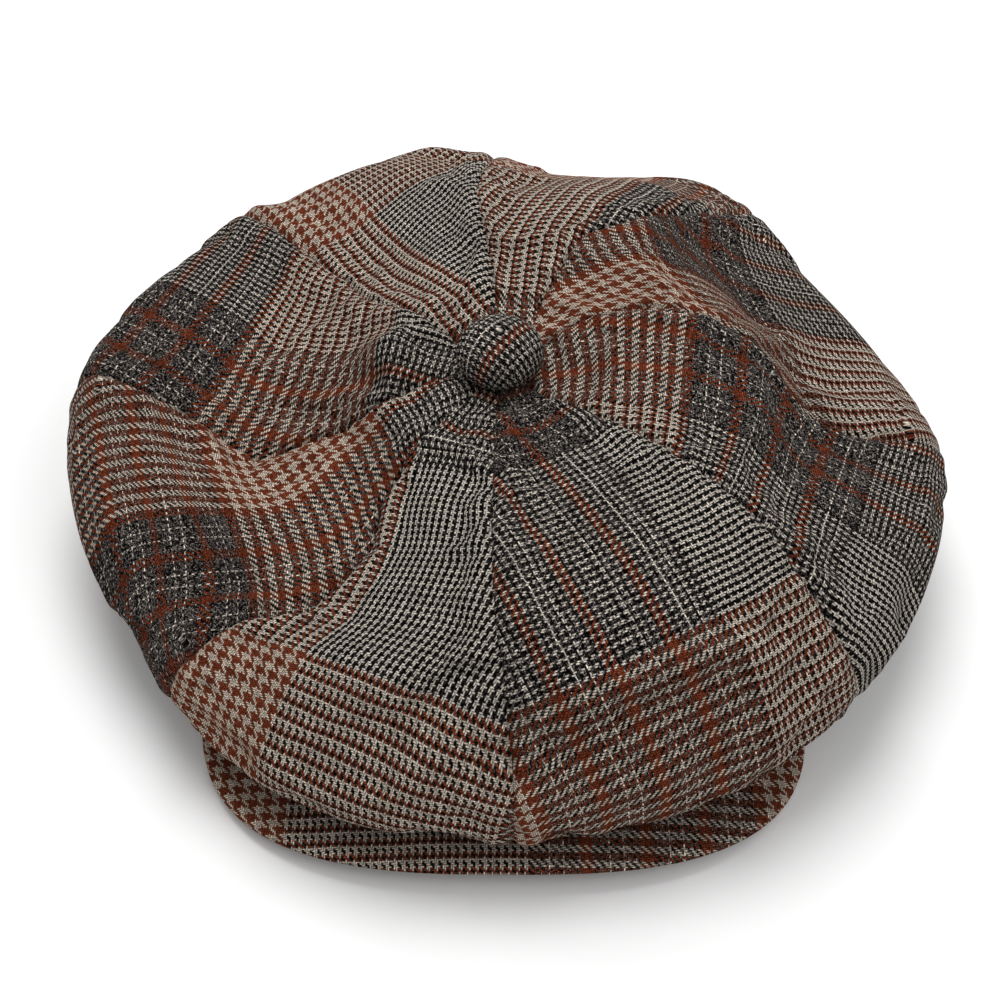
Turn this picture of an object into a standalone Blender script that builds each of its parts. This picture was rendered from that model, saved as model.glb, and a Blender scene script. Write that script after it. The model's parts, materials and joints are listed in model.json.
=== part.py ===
"""Newsboy cap: eight-gore crown, stiffened visor, covered button, lined and banded.

Metres, +Z up. The origin is the centre of the cap's footprint on the plane it
rests on. -Y is the front (visor), +X the wearer's left. Sizes and the form
functions are in millimetres from the axis of the head opening, with bearings in
degrees anticlockwise from +X; add_solid() moves and scales the result.
"""
import math

import bmesh
import bpy
import numpy as np

MM = 0.001
ORIGIN = (0.0, 0.0, 0.0)
FRONT = -90.0                 # bearings
BACK = 90.0
SHARP_ANGLE = 40.0

# ------------------------------------------------------------ head opening
HEAD_HALF_WIDTH = 84.5        # inside the sweatband, hat size 58
HEAD_HALF_DEPTH = 100.0
SWEATBAND_THICKNESS = 0.9
SWEATBAND_HEIGHT = 27.0
STIFFENER_THICKNESS = 0.7
STIFFENER_HEIGHT = 26.5
STIFFENER_COLUMNS = 51
BAND_THICKNESS = 1.5
BAND_HEIGHT = 32.0            # the crown is sewn to the band at this height
BAND_COLUMNS = 60
LAYER_GAP = 0.3
ELASTIC_HALF_ANGLE = 33.0     # the stiffener is left out here, at the back
ELASTIC_END_GAP = 0.5         # degrees between elastic and stiffener
ELASTIC_BOTTOM = 6.0
ELASTIC_TOP = 25.0
ELASTIC_COLUMNS = 13
TAPE_BOTTOM = 27.6
TAPE_INSET = 0.4              # tape's inner face inside the stiffener's

# Offsets of the band layers from the head opening, from the inside out
STIFFENER_INNER = SWEATBAND_THICKNESS + LAYER_GAP
STIFFENER_OUTER = STIFFENER_INNER + STIFFENER_THICKNESS
BAND_INNER = STIFFENER_OUTER + LAYER_GAP
BAND_OUTER = BAND_INNER + BAND_THICKNESS

# ------------------------------------------------------------ crown form
# Seams start at the front and go anticlockwise seen from above: front,
# front-left, left, back-left, back, back-right, right, front-right.
# Gore k lies between seam k and the next.
GORES = 8
GORE_ANGLE = 360.0 / GORES
GORE_NAMES = ("front_left", "left_front", "left_back", "back_left",
              "back_right", "right_back", "right_front", "front_right")
# Distance from the axis as a fraction of the rim radius
STATION = (0.0, 0.12, 0.25, 0.40, 0.55, 0.70, 0.82, 0.92)
RIM_STATION = 1.0
# One row a seam: degrees off its nominal bearing at each station and the rim
SEAM_DRIFT = (
    (-3, -3, -3, -2.5, -2, -1, 0.5, 1.5, 3),
    (5, 5, 5, 5, 4, 2.5, 1, 0.5, 2),
    (40, 38, 28, 18, 9, -3, -5, -5, -4),
    (10, 14, 19, 18, 8, 2, 1, 1, 2),
    (3, 3, 4, 5, 6, 4, 2, 1, 0),
    (5, 5, 5, 5, 0, 0, 0, 0, 0),
    (12, 12, 13, 11, 13, 4, 0, -3, -4),
    (8, 7, 5, 8, 14, 11, 2, 0, 1),
)
# One row a seam: height at each station
SEAM_HEIGHT = (
    (72, 74, 78, 81, 83, 79, 66, 46),
    (72, 74, 79, 82, 83, 80, 72, 60),
    (72, 74, 82, 84, 76, 54, 51, 51),
    (72, 74, 78, 84, 86, 80, 70, 62),
    (72, 74, 80, 82, 83, 78, 69, 60),
    (72, 74, 77, 70, 62, 62, 63, 61),
    (72, 73, 67, 51, 48.5, 57, 63, 63.5),
    (72, 73, 71, 59, 54, 47, 44, 42),
)
# One value a seam
RIM_RADIUS = (153, 157, 158, 151, 150, 151, 154, 150)
RIM_HEIGHT = (25, 37, 42, 46, 46, 46, 48, 31)
UNDER_DROP = (7, 11, 17, 19, 20, 19, 17, 11)   # how far the fabric hangs below the rim
# One value a gore
GORE_BULGE = (2, -1, -9, -1, 2, -3, -3, 1)      # rim radius added in mid gore
GORE_SKEW = (0, 0, 1.5, 6, 3, 0, 1, 0)          # the bulge leans to a gore's first seam
# how a gore climbs from its first seam to its second: below 1 is steep there
GORE_EASE = ((1, 1), (1, 1), (1, 1), (1, 1), (0.9, 1.6), (1, 1), (0.8, 1), (0.3, 0.9))
# One row a gore: height added between its seams at each station
GORE_PUFF = (
    (0, 0.5, 2, 3, 3, 3, 4, 4),
    (0, 0.5, 2, 3, 3, 4, 5, 5),
    (0, 0.5, 2, 3, 3, 4, 3, 2),
    (0, 0.5, 2, 3, 3, 3, 2, 1),
    (0, 0.5, 2, 3, 3, 4, 5, 5),
    (0, 0.5, 2, 3, 3, 4, 3, 3),
    (0, 0.5, 3, 6, 9, 9, 6, 5),
    (0, 0.5, 2, 3, 3, 4, 5, 5),
)
# Local swells: gore, place across, station, spread across, spread along, height
SWELLS = ((5, 0.55, 0.27, 0.25, 0.09, 8.0),)
# Powers of the half sine across a gore: lower is fuller near the seams
BULGE_POWER = 0.9
PUFF_POWER = 0.8
SWELL_POWER = 0.5

NOMINAL_RIM_RADIUS = 153.0    # turns the radii of the centre holes into stations
RIM_START = STATION[-1]
SEAM_GAP = 0.2                # half the gap kept between neighbouring gores

CROWN_HOLE = 4.6              # radius left open round the button shank
CROWN_THICKNESS = 1.7
CROWN_COLUMNS = 9
CROWN_ROWS = (11, 3, 3)       # over the top, round the rim, underneath
CROWN_ROW_POWER = 0.9         # spacing of the top rows
RIM_SLOPE_STEP = 0.02         # stations over which the slope into the rim is taken
RIM_HANDLE = 0.55             # curve handles as a share of the rim's run and rise
RIM_MIN_RISE = 2.0
UNDER_HANDLE = 16.0           # how far in from the rim the underside is pulled
BAND_SEAM_TUCK = 0.4          # crown edge inside and above the band's top edge

LINING_DROP = 7.0             # lining below the crown's outer face
LINING_INSET = 9.0            # lining rim inside the crown rim
LINING_THICKNESS = 0.8
LINING_HOLE = 8.0
LINING_COLUMNS = 6
LINING_ROWS = (10, 2, 2)
LINING_RIM_START = RIM_START - 0.04
LINING_RIM_LIFT = 3.0         # above the crown rim
LINING_MIN_FALL = 2.0         # from the end of the top to the lining rim
LINING_HANDLE_OUT = 0.6
LINING_HANDLE_SLOPE = 0.5
LINING_HANDLE_UP = 0.5
LINING_UNDER_HANG = 3.0
LINING_UNDER_HANDLE = (14.0, 0.5)   # in from the rim, up from it
LINING_BAND_GAP = 0.3         # outside the sweatband
LINING_BAND_RISE = 5.0        # above the top of the band

# ------------------------------------------------------------ visor
VISOR_HALF_WIDTH = 102.0
VISOR_CENTRE_X = 2.0
VISOR_CENTRE_Y = -90.0
VISOR_REACH = 67.0            # from VISOR_CENTRE_Y to the front edge
VISOR_POWER = 2.6             # squareness of the outline
VISOR_TURN = 0.86             # share of the half width where the outline turns in
VISOR_TURN_POWER = 1.6
VISOR_TIP_GAP = 5.0           # outer corner of each tip, out from the seam
VISOR_SEAM_HALF_ANGLE = 50.0  # how far round the band the visor is sewn
VISOR_ARCH = 10.0             # middle above corners
VISOR_ARCH_HALF_WIDTH = 104.0
VISOR_CORNER_HEIGHT = 2.8     # middle of the layers at the corners
VISOR_NOSE_DROP = 2.5
VISOR_DROP_START = 100.0      # ahead of the head axis
VISOR_DROP_RUN = VISOR_REACH - VISOR_CENTRE_Y - VISOR_DROP_START
BOARD_THICKNESS = 1.8
BOARD_INSET = 2.0 + 0.8       # cover's edge wrap, and clearance
BOARD_SEAM_GAP = 1.0
VISOR_COVER_THICKNESS = 0.9
VISOR_BAND_GAP = 0.6
VISOR_PIVOT = (0.0, -84.0, 11.0)    # it flexes about a line through the middle of its seam
# Columns from tip to tip, closer together towards the tips
EVEN_STEPS = np.linspace(-1, 1, 25)
VISOR_STEPS = 0.5 * (np.sin(EVEN_STEPS * np.pi / 2) + EVEN_STEPS)
VISOR_ROWS = np.array([0.0, 0.33, 0.66, 0.94, 1.0])
BAND_ARCH_RISE = VISOR_ARCH + 1.0   # of the band's lower edge, at the front
BAND_ARCH_HALF_ANGLE = VISOR_SEAM_HALF_ANGLE + 14.0

# ------------------------------------------------------------ button
BUTTON_RADIUS = 15.0
BUTTON_TOP = 91.5
BUTTON_EQUATOR = 80.5
BUTTON_BOTTOM = 75.2
BUTTON_PIVOT = (0.0, 0.0, BUTTON_EQUATOR)
BUTTON_SEGMENTS = 20
UNDERSIDE_POWER = 0.6
DOME_STEPS = 6
DOME_POLE_SHARE = 0.35        # part step left between the last ring and the pole
POLE_RISE = 0.12              # pole above the last ring
COVER_THICKNESS = 1.0
COVER_LIP = 10.0              # radius of the opening underneath
SHELL_THICKNESS = 0.7
SHELL_LIP = 11.2
SHELL_INSET = COVER_THICKNESS + LAYER_GAP + 0.3
PLATE_HOLE = 2.0
PLATE_RADIUS = 11.6
PLATE_BOTTOM = BUTTON_BOTTOM + SHELL_INSET + SHELL_THICKNESS + 0.4
PLATE_TOP = PLATE_BOTTOM + 0.8
PLATE_SEGMENTS = 24
SHANK_SEGMENTS = 16
SHANK_RADIUS = 1.5
SHANK_AXIS_RADIUS = 0.0001    # keeps the profile just off the axis
SHANK_HEAD_RADIUS = 4.0
SHANK_HEAD_BOTTOM = PLATE_TOP + LAYER_GAP
SHANK_HEAD_TOP = SHANK_HEAD_BOTTOM + 1.1
SHANK_FOOT_RADIUS = 3.0
SHANK_FOOT_BOTTOM = 67.6
SHANK_FOOT_EDGE_TOP = 68.6
SHANK_FOOT_TOP = 68.9
THREAD_RING_RADIUS = 2.9
THREAD_RADIUS = 0.9
THREAD_HEIGHT = 73.6
THREAD_SEGMENTS = 20
WASHER_HOLE = 1.8
WASHER_RADIUS = 8.5
WASHER_BOTTOM = 69.0
WASHER_TOP = 69.9
WASHER_SEGMENTS = 24


# ------------------------------------------------------------ curve tools
def hermite(stations, values, place):
    """Monotone cubic through the stations; the last axis of values runs along them."""
    stations = np.asarray(stations, float)
    values = np.asarray(values, float)
    step = np.diff(stations)
    rise = np.diff(values, axis=-1) / step
    before, after = rise[..., :-1], rise[..., 1:]
    same_sign = before * after > 0
    weight_before = 2 * step[1:] + step[:-1]
    weight_after = step[1:] + 2 * step[:-1]
    harmonic = (weight_before + weight_after) / (
        weight_before / np.where(same_sign, before, 1.0)
        + weight_after / np.where(same_sign, after, 1.0))
    slope = np.zeros_like(values)
    slope[..., 1:-1] = np.where(same_sign, harmonic, 0.0)
    slope[..., 0] = rise[..., 0]
    slope[..., -1] = rise[..., -1]
    place = np.clip(place, stations[0], stations[-1])
    i = np.clip(np.searchsorted(stations, place, side="right") - 1, 0, len(stations) - 2)
    part = (place - stations[i]) / step[i]
    return (values[..., i] * (1 + 2 * part) * (1 - part) ** 2
            + slope[..., i] * step[i] * part * (1 - part) ** 2
            + values[..., i + 1] * part * part * (3 - 2 * part)
            + slope[..., i + 1] * step[i] * part * part * (part - 1))


def round_robin(seam_values, k, across):
    """Smooth closed curve through the seam values, between seams k and k + 1."""
    before, first, second, after = (float(seam_values[(k + i) % GORES]) for i in (-1, 0, 1, 2))
    return 0.5 * (2 * first + (second - before) * across
                  + (2 * before - 5 * first + 4 * second - after) * across ** 2
                  + (3 * first - before - 3 * second + after) * across ** 3)


def bezier(start, start_handle, end_handle, end, rows):
    """Rows of (radius, z) along a cubic, leaving out its start."""
    part = np.linspace(0, 1, rows + 1)[1:, None]
    rest = 1 - part
    return tuple(rest ** 3 * start[i] + 3 * rest * rest * part * start_handle[i]
                 + 3 * rest * part * part * end_handle[i] + part ** 3 * end[i]
                 for i in (0, 1))


def band_radius(angle, offset=0.0):
    """Radius of the head opening's ellipse, grown by offset; angle in radians."""
    return 1.0 / np.sqrt((np.cos(angle) / (HEAD_HALF_WIDTH + offset)) ** 2
                         + (np.sin(angle) / (HEAD_HALF_DEPTH + offset)) ** 2)


def polar(radius, angle, z):
    """Grid of points from polar coordinates about the head axis."""
    return np.stack(np.broadcast_arrays(radius * np.cos(angle), radius * np.sin(angle), z), -1)


# ------------------------------------------------------------ crown and lining surfaces
def rim_radius(k, across):
    return (round_robin(RIM_RADIUS, k, across)
            + GORE_BULGE[k] * np.sin(np.pi * across) ** BULGE_POWER
            + GORE_SKEW[k] * np.sin(2 * np.pi * across))


def gore_top(k, across, station):
    """Radius, angle and height of gore k's outer face; across is a single row."""
    following = (k + 1) % GORES
    drift = hermite(STATION + (RIM_STATION,), SEAM_DRIFT, station)
    height = hermite(STATION, SEAM_HEIGHT, station)
    puff = hermite(STATION, GORE_PUFF[k], station)[:, None]
    station = station[:, None]
    first = (FRONT + GORE_ANGLE * k + drift[k])[:, None]
    second = (FRONT + GORE_ANGLE * (k + 1) + drift[following])[:, None]
    angle = np.radians(first * (1 - across) + second * across)
    climb = across ** GORE_EASE[k][0]
    share = climb / (climb + (1 - across) ** GORE_EASE[k][1])
    half_sine = np.sin(np.pi * across)
    z = height[k][:, None] * (1 - share) + height[following][:, None] * share
    z = z + puff * half_sine ** PUFF_POWER
    for gore, centre, centre_station, spread, spread_along, rise in SWELLS:
        if gore == k:
            distance = (((across - centre) / spread) ** 2
                        + ((station - centre_station) / spread_along) ** 2)
            z = z + rise * np.exp(-distance) * half_sine ** SWELL_POWER
    return station * rim_radius(k, across), angle, z


def join_gore(top, rim, under):
    """Grid from the top (radius, angle, z) and the (radius, z) rows that carry it on."""
    top_radius, top_angle, top_z = top
    radius = np.concatenate([top_radius, rim[0], under[0]])
    z = np.concatenate([top_z, rim[1], under[1]])
    carried = np.repeat(top_angle[-1:], len(radius) - len(top_radius), axis=0)
    return polar(radius, np.concatenate([top_angle, carried]), z)


def crown_gore(k):
    """Outer face of crown gore k, from the button to the band seam."""
    top_rows, rim_rows, under_rows = CROWN_ROWS
    across = np.linspace(0, 1, CROWN_COLUMNS)[None, :]
    start = CROWN_HOLE / NOMINAL_RIM_RADIUS
    spacing = np.linspace(0, 1, top_rows) ** CROWN_ROW_POWER
    top = gore_top(k, across, start + (RIM_START - start) * spacing)

    last = np.array([RIM_START - RIM_SLOPE_STEP, RIM_START])
    last_radius, _, last_z = gore_top(k, across, last)
    slope = (last_z[1:] - last_z[:1]) / (last_radius[1:] - last_radius[:1])
    top_radius, top_z = last_radius[1:], last_z[1:]
    rim = rim_radius(k, across)
    low = round_robin(RIM_HEIGHT, k, across)
    reach = RIM_HANDLE * (rim - top_radius)
    rise = RIM_HANDLE * np.maximum(top_z - low, RIM_MIN_RISE)
    rim_curve = bezier((top_radius, top_z), (top_radius + reach, top_z + slope * reach),
                       (rim, low + rise), (rim, low), rim_rows)

    edge = band_radius(top[1][-1:], BAND_OUTER)
    bottom = low - round_robin(UNDER_DROP, k, across)
    under_curve = bezier((rim, low), (rim, bottom), (rim - UNDER_HANDLE, bottom),
                         (edge - BAND_SEAM_TUCK, BAND_HEIGHT + BAND_SEAM_TUCK), under_rows)
    return join_gore(top, rim_curve, under_curve)


def lining_gore(k):
    """Outer face of lining gore k: it follows the crown inside it, drawn in at the rim."""
    top_rows, rim_rows, under_rows = LINING_ROWS
    across = np.linspace(0, 1, LINING_COLUMNS)[None, :]
    start = LINING_HOLE / NOMINAL_RIM_RADIUS
    stations = start + (LINING_RIM_START - start) * np.linspace(0, 1, top_rows)
    radius, angle, z = gore_top(k, across, stations)
    z = z - LINING_DROP

    top_radius, top_z = radius[-1:], z[-1:]
    rim = rim_radius(k, across) - LINING_INSET
    low = np.minimum(round_robin(RIM_HEIGHT, k, across) + LINING_RIM_LIFT,
                     top_z - LINING_MIN_FALL)
    out = LINING_HANDLE_OUT * (rim - top_radius)
    rim_curve = bezier((top_radius, top_z),
                       (top_radius + out, top_z - LINING_HANDLE_SLOPE * out),
                       (rim, low + LINING_HANDLE_UP * (top_z - low)), (rim, low), rim_rows)

    edge = band_radius(angle[-1:], SWEATBAND_THICKNESS + LINING_BAND_GAP)
    handle_in, handle_up = LINING_UNDER_HANDLE
    under_curve = bezier((rim, low), (rim, low - LINING_UNDER_HANG),
                         (rim - handle_in, low + handle_up),
                         (edge, BAND_HEIGHT + LINING_BAND_RISE), under_rows)
    return join_gore((radius, angle, z), rim_curve, under_curve)


def unit(vectors):
    return vectors / np.maximum(np.linalg.norm(vectors, axis=-1, keepdims=True), 1e-9)


def outward(grid):
    """Normals of a grid whose rows run from the button out and columns anticlockwise."""
    return unit(np.cross(np.gradient(grid, axis=0), np.gradient(grid, axis=1)))


def shell_ring(grids, thickness):
    """Outer and inner grids of each gore, with a shared wall direction at each seam."""
    normals = [outward(grid) for grid in grids]
    for k in range(GORES):
        following = (k + 1) % GORES
        shared = unit(normals[k][:, -1] + normals[following][:, 0])
        normals[k][:, -1] = shared
        normals[following][:, 0] = shared
    shells = []
    for grid, normal in zip(grids, normals):
        outer = grid.copy()
        outer[:, 0] += SEAM_GAP * unit(outer[:, 1] - outer[:, 0])
        outer[:, -1] += SEAM_GAP * unit(outer[:, -2] - outer[:, -1])
        shells.append((outer, outer - thickness * normal))
    return shells


# ------------------------------------------------------------ visor surface
def visor_grid(rows, lift=0.0, inset=0.0, seam_gap=0.0):
    """Columns run from tip to tip, rows from the band (0) to the free edge (1)."""
    across, out = np.meshgrid(VISOR_STEPS, rows)
    seam_offset = BAND_OUTER + VISOR_BAND_GAP + seam_gap
    seam_angle = np.radians(FRONT + VISOR_SEAM_HALF_ANGLE * across)
    seam_radius = band_radius(seam_angle, seam_offset)

    off_middle = np.abs(across)
    turn = np.clip(off_middle / VISOR_TURN, 0, 1) * np.pi / 2
    half_width = VISOR_HALF_WIDTH - inset
    edge_x = half_width * np.sin(turn) ** (2 / VISOR_POWER)
    edge_y = VISOR_CENTRE_Y - (VISOR_REACH - inset) * np.cos(turn) ** (2 / VISOR_POWER)

    # Past the turn the outline runs in to the tip
    tip_share = np.clip((off_middle - VISOR_TURN) / (1 - VISOR_TURN), 0, 1)
    tip_angle = np.radians(FRONT + VISOR_SEAM_HALF_ANGLE)
    tip_radius = band_radius(tip_angle, seam_offset + VISOR_TIP_GAP)
    tip_x, tip_y = tip_radius * np.cos(tip_angle), tip_radius * np.sin(tip_angle)
    edge_x = edge_x - (half_width - tip_x) * tip_share ** VISOR_TURN_POWER
    edge_y = edge_y + (tip_y - VISOR_CENTRE_Y) * tip_share
    edge_x = np.sign(across) * edge_x + VISOR_CENTRE_X * (1 - off_middle ** 4)

    x = seam_radius * np.cos(seam_angle) * (1 - out) + edge_x * out
    y = seam_radius * np.sin(seam_angle) * (1 - out) + edge_y * out
    forward = np.maximum((-y - VISOR_DROP_START) / VISOR_DROP_RUN, 0)
    z = (VISOR_CORNER_HEIGHT + VISOR_ARCH * (1 - (x / VISOR_ARCH_HALF_WIDTH) ** 2)
         - VISOR_NOSE_DROP * forward)
    return np.stack([x, y, z + lift], -1)


# ------------------------------------------------------------ footprint
def extent_centre(grids):
    """Middle in x and y of everything the grids reach, with z left at 0."""
    points = np.concatenate([grid.reshape(-1, 3) for grid in grids])
    middle = (points.min(axis=0) + points.max(axis=0)) / 2
    return float(middle[0]), float(middle[1]), 0.0


CROWN_SHELLS = shell_ring([crown_gore(k) for k in range(GORES)], CROWN_THICKNESS)
FOOTPRINT_CENTRE = extent_centre([outer for outer, _ in CROWN_SHELLS]
                                 + [visor_grid(np.array([0.0, 1.0]))])


# ------------------------------------------------------------ mesh building
def place_at(obj, point):
    """Put an object's origin at a point given from the head axis."""
    obj.location = [(point[i] - FOOTPRINT_CENTRE[i]) * MM for i in range(3)]


def add_solid(name, points, faces, surface, pivot=ORIGIN, parent=None):
    """A solid with its origin at the pivot; a parent has to stand at the pivot."""
    mesh = bpy.data.meshes.new(name)
    local = (np.asarray(points, float) - np.asarray(pivot)) * MM
    mesh.from_pydata(local.tolist(), [], faces)
    bm = bmesh.new()
    bm.from_mesh(mesh)
    bmesh.ops.recalc_face_normals(bm, faces=bm.faces)
    if bm.calc_volume(signed=True) < 0:
        bmesh.ops.reverse_faces(bm, faces=bm.faces)
    bm.to_mesh(mesh)
    bm.free()
    mesh.shade_smooth()
    mesh.set_sharp_from_angle(angle=math.radians(SHARP_ANGLE))
    mesh.materials.append(surface)
    obj = bpy.data.objects.new(name, mesh)
    bpy.context.scene.collection.objects.link(obj)
    if parent is None:
        place_at(obj, pivot)
    else:
        obj.parent = parent


def slab(name, outer, inner, surface, closed=False, pivot=ORIGIN):
    """A solid between two grids of one size; closed joins the last column to the first."""
    rows, columns = outer.shape[:2]
    half = rows * columns
    span = columns if closed else columns - 1
    faces = []
    for i in range(rows - 1):
        for j in range(span):
            here, right = i * columns + j, i * columns + (j + 1) % columns
            below, below_right = here + columns, right + columns
            faces.append((here, below, below_right, right))
            faces.append((here + half, right + half, below_right + half, below + half))
    last_row = (rows - 1) * columns
    for j in range(span):
        right = (j + 1) % columns
        faces.append((j, right, right + half, j + half))
        here, right = last_row + j, last_row + right
        faces.append((here, here + half, right + half, right))
    if not closed:
        for i in range(rows - 1):
            here, below = i * columns, (i + 1) * columns
            faces.append((here, here + half, below + half, below))
            here, below = here + columns - 1, below + columns - 1
            faces.append((here, below, below + half, here + half))
    points = np.concatenate([outer.reshape(-1, 3), inner.reshape(-1, 3)])
    add_solid(name, points, faces, surface, pivot)


def revolve(profile, segments):
    """Points of an (r, z) profile turned about the head axis."""
    angles = [2 * math.pi * i / segments for i in range(segments)]
    return [(r * math.cos(a), r * math.sin(a), z) for a in angles for r, z in profile]


def turned(name, profile, segments, surface, pivot=ORIGIN, parent=None):
    """A solid of revolution from a closed (r, z) profile."""
    count = len(profile)
    faces = []
    for i in range(segments):
        here, turn = i * count, (i + 1) % segments * count
        for j in range(count):
            after = (j + 1) % count
            faces.append((here + j, turn + j, turn + after, here + after))
    add_solid(name, revolve(profile, segments), faces, surface, pivot, parent)


def cup(name, outer, inner, surface, parent):
    """A button part turned from two (r, z) profiles that each close on a pole."""
    count = len(outer)
    half = count * BUTTON_SEGMENTS
    points = revolve(outer, BUTTON_SEGMENTS) + revolve(inner, BUTTON_SEGMENTS)
    points += [(0, 0, profile[-1][1] + POLE_RISE) for profile in (outer, inner)]
    outer_pole, inner_pole = 2 * half, 2 * half + 1
    faces = []
    for i in range(BUTTON_SEGMENTS):
        here, turn = i * count, (i + 1) % BUTTON_SEGMENTS * count
        for j in range(count - 1):
            quad = (here + j, turn + j, turn + j + 1, here + j + 1)
            faces.append(quad)
            faces.append(tuple(quad[corner] + half for corner in (0, 3, 2, 1)))
        here_end, turn_end = here + count - 1, turn + count - 1
        faces.append((here_end, turn_end, outer_pole))
        faces.append((here_end + half, inner_pole, turn_end + half))
        faces.append((here, here + half, turn + half, turn))
    add_solid(name, points, faces, surface, BUTTON_PIVOT, parent)


def material(name, colour, roughness, metallic=0.0):
    surface = bpy.data.materials.new(name)
    surface.use_nodes = True
    inputs = surface.node_tree.nodes["Principled BSDF"].inputs
    inputs["Base Color"].default_value = (*colour, 1.0)
    inputs["Roughness"].default_value = roughness
    inputs["Metallic"].default_value = metallic
    return surface


# ------------------------------------------------------------ pieces
def build_crown(first_tweed, second_tweed):
    for k, (outer, inner) in enumerate(CROWN_SHELLS):
        slab("crown_gore_" + GORE_NAMES[k], outer, inner, second_tweed if k % 2 else first_tweed)


def build_lining(surface):
    shells = shell_ring([lining_gore(k) for k in range(GORES)], LINING_THICKNESS)
    for name, (outer, inner) in zip(GORE_NAMES, shells):
        slab("lining_gore_" + name, outer, inner, surface)


def band_arch(angles):
    """Rise of the band's lower edge where the visor is sewn on."""
    off_front = np.abs((np.degrees(angles) - FRONT + 180.0) % 360.0 - 180.0)
    share = np.clip(off_front / BAND_ARCH_HALF_ANGLE, 0, 1)
    return BAND_ARCH_RISE * np.cos(0.5 * np.pi * share) ** 2


def band_strip(name, inside, outside, bottom, top, surface, part=None, arched=True):
    """An upright strip round the head; part is (centre, half angle, columns) of an arc."""
    if part is None:
        angles = np.radians(FRONT + np.arange(BAND_COLUMNS) * 360.0 / BAND_COLUMNS)
    else:
        centre, half_angle, columns = part
        angles = np.radians(centre + np.linspace(-half_angle, half_angle, columns))
    lower = bottom + (band_arch(angles) if arched else 0 * angles)
    z = np.stack([lower, np.full_like(lower, top)])
    outer, inner = (polar(band_radius(angles, offset), angles, z) for offset in (outside, inside))
    slab(name, outer, inner, surface, closed=part is None)


def build_band(sweat, buckram, elastic, tape, tweed):
    band_strip("sweatband", 0.0, SWEATBAND_THICKNESS, 0.0, SWEATBAND_HEIGHT, sweat)
    stiffener_half_angle = 180.0 - ELASTIC_HALF_ANGLE - ELASTIC_END_GAP
    band_strip("band_stiffener", STIFFENER_INNER, STIFFENER_OUTER, 0.0, STIFFENER_HEIGHT,
               buckram, part=(FRONT, stiffener_half_angle, STIFFENER_COLUMNS))
    band_strip("back_elastic", STIFFENER_INNER, STIFFENER_OUTER, ELASTIC_BOTTOM, ELASTIC_TOP,
               elastic, part=(BACK, ELASTIC_HALF_ANGLE, ELASTIC_COLUMNS), arched=False)
    band_strip("crown_joint_tape", STIFFENER_INNER - TAPE_INSET, STIFFENER_OUTER,
               TAPE_BOTTOM, BAND_HEIGHT, tape, arched=False)
    band_strip("head_band", BAND_INNER, BAND_OUTER, 0.0, BAND_HEIGHT, tweed)


def visor_layer(name, low, high, surface, **fit):
    """A curved sheet of the visor between two levels of its thickness."""
    slab(name, visor_grid(VISOR_ROWS, high, **fit), visor_grid(VISOR_ROWS, low, **fit),
         surface, pivot=VISOR_PIVOT)


def build_visor(board, tweed):
    half_board = BOARD_THICKNESS / 2
    near = half_board + LAYER_GAP
    far = near + VISOR_COVER_THICKNESS
    visor_layer("visor_board", -half_board, half_board, board,
                inset=BOARD_INSET, seam_gap=BOARD_SEAM_GAP)
    visor_layer("visor_top_cover", near, far, tweed)
    visor_layer("visor_under_cover", -far, -near, tweed)


def dome(inset, lip):
    """Half profile of the button from its underside lip, out round and up to near the pole."""
    radius = BUTTON_RADIUS - inset
    rise = BUTTON_TOP - inset - BUTTON_EQUATOR
    bottom = BUTTON_BOTTOM + inset
    profile = [(lip, bottom)]
    for degrees in (-60, -30, 0):
        angle = math.radians(degrees)
        profile.append((lip + (radius - lip) * math.cos(angle) ** UNDERSIDE_POWER,
                        BUTTON_EQUATOR + (BUTTON_EQUATOR - bottom) * math.sin(angle)))
    for i in range(1, DOME_STEPS + 1):
        angle = math.radians(90.0 * i / (DOME_STEPS + DOME_POLE_SHARE))
        profile.append((radius * math.cos(angle), BUTTON_EQUATOR + rise * math.sin(angle)))
    return profile


def flat_ring(hole, radius, bottom, top):
    return [(hole, bottom), (radius, bottom), (radius, top), (hole, top)]


def build_button(tweed, steel):
    """Pressed shell under fabric, closed by a plate, on a shank through the crown."""
    axis = bpy.data.objects.new("button_axis", None)
    place_at(axis, BUTTON_PIVOT)
    bpy.context.scene.collection.objects.link(axis)
    cup("button_cover", dome(0.0, COVER_LIP), dome(COVER_THICKNESS, COVER_LIP), tweed, axis)
    cup("button_shell", dome(SHELL_INSET, SHELL_LIP),
        dome(SHELL_INSET + SHELL_THICKNESS, SHELL_LIP), steel, axis)
    turned("button_back_plate", flat_ring(PLATE_HOLE, PLATE_RADIUS, PLATE_BOTTOM, PLATE_TOP),
           PLATE_SEGMENTS, steel, BUTTON_PIVOT, axis)
    shank = [
        (SHANK_HEAD_RADIUS, SHANK_HEAD_TOP),
        (SHANK_HEAD_RADIUS, SHANK_HEAD_BOTTOM),
        (SHANK_RADIUS, SHANK_HEAD_BOTTOM),
        (SHANK_RADIUS, SHANK_FOOT_TOP),
        (SHANK_FOOT_RADIUS, SHANK_FOOT_EDGE_TOP),
        (SHANK_FOOT_RADIUS, SHANK_FOOT_BOTTOM),
        (SHANK_AXIS_RADIUS, SHANK_FOOT_BOTTOM),
        (SHANK_AXIS_RADIUS, SHANK_HEAD_TOP),
    ]
    turned("button_shank", shank, SHANK_SEGMENTS, steel, BUTTON_PIVOT, axis)


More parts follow.
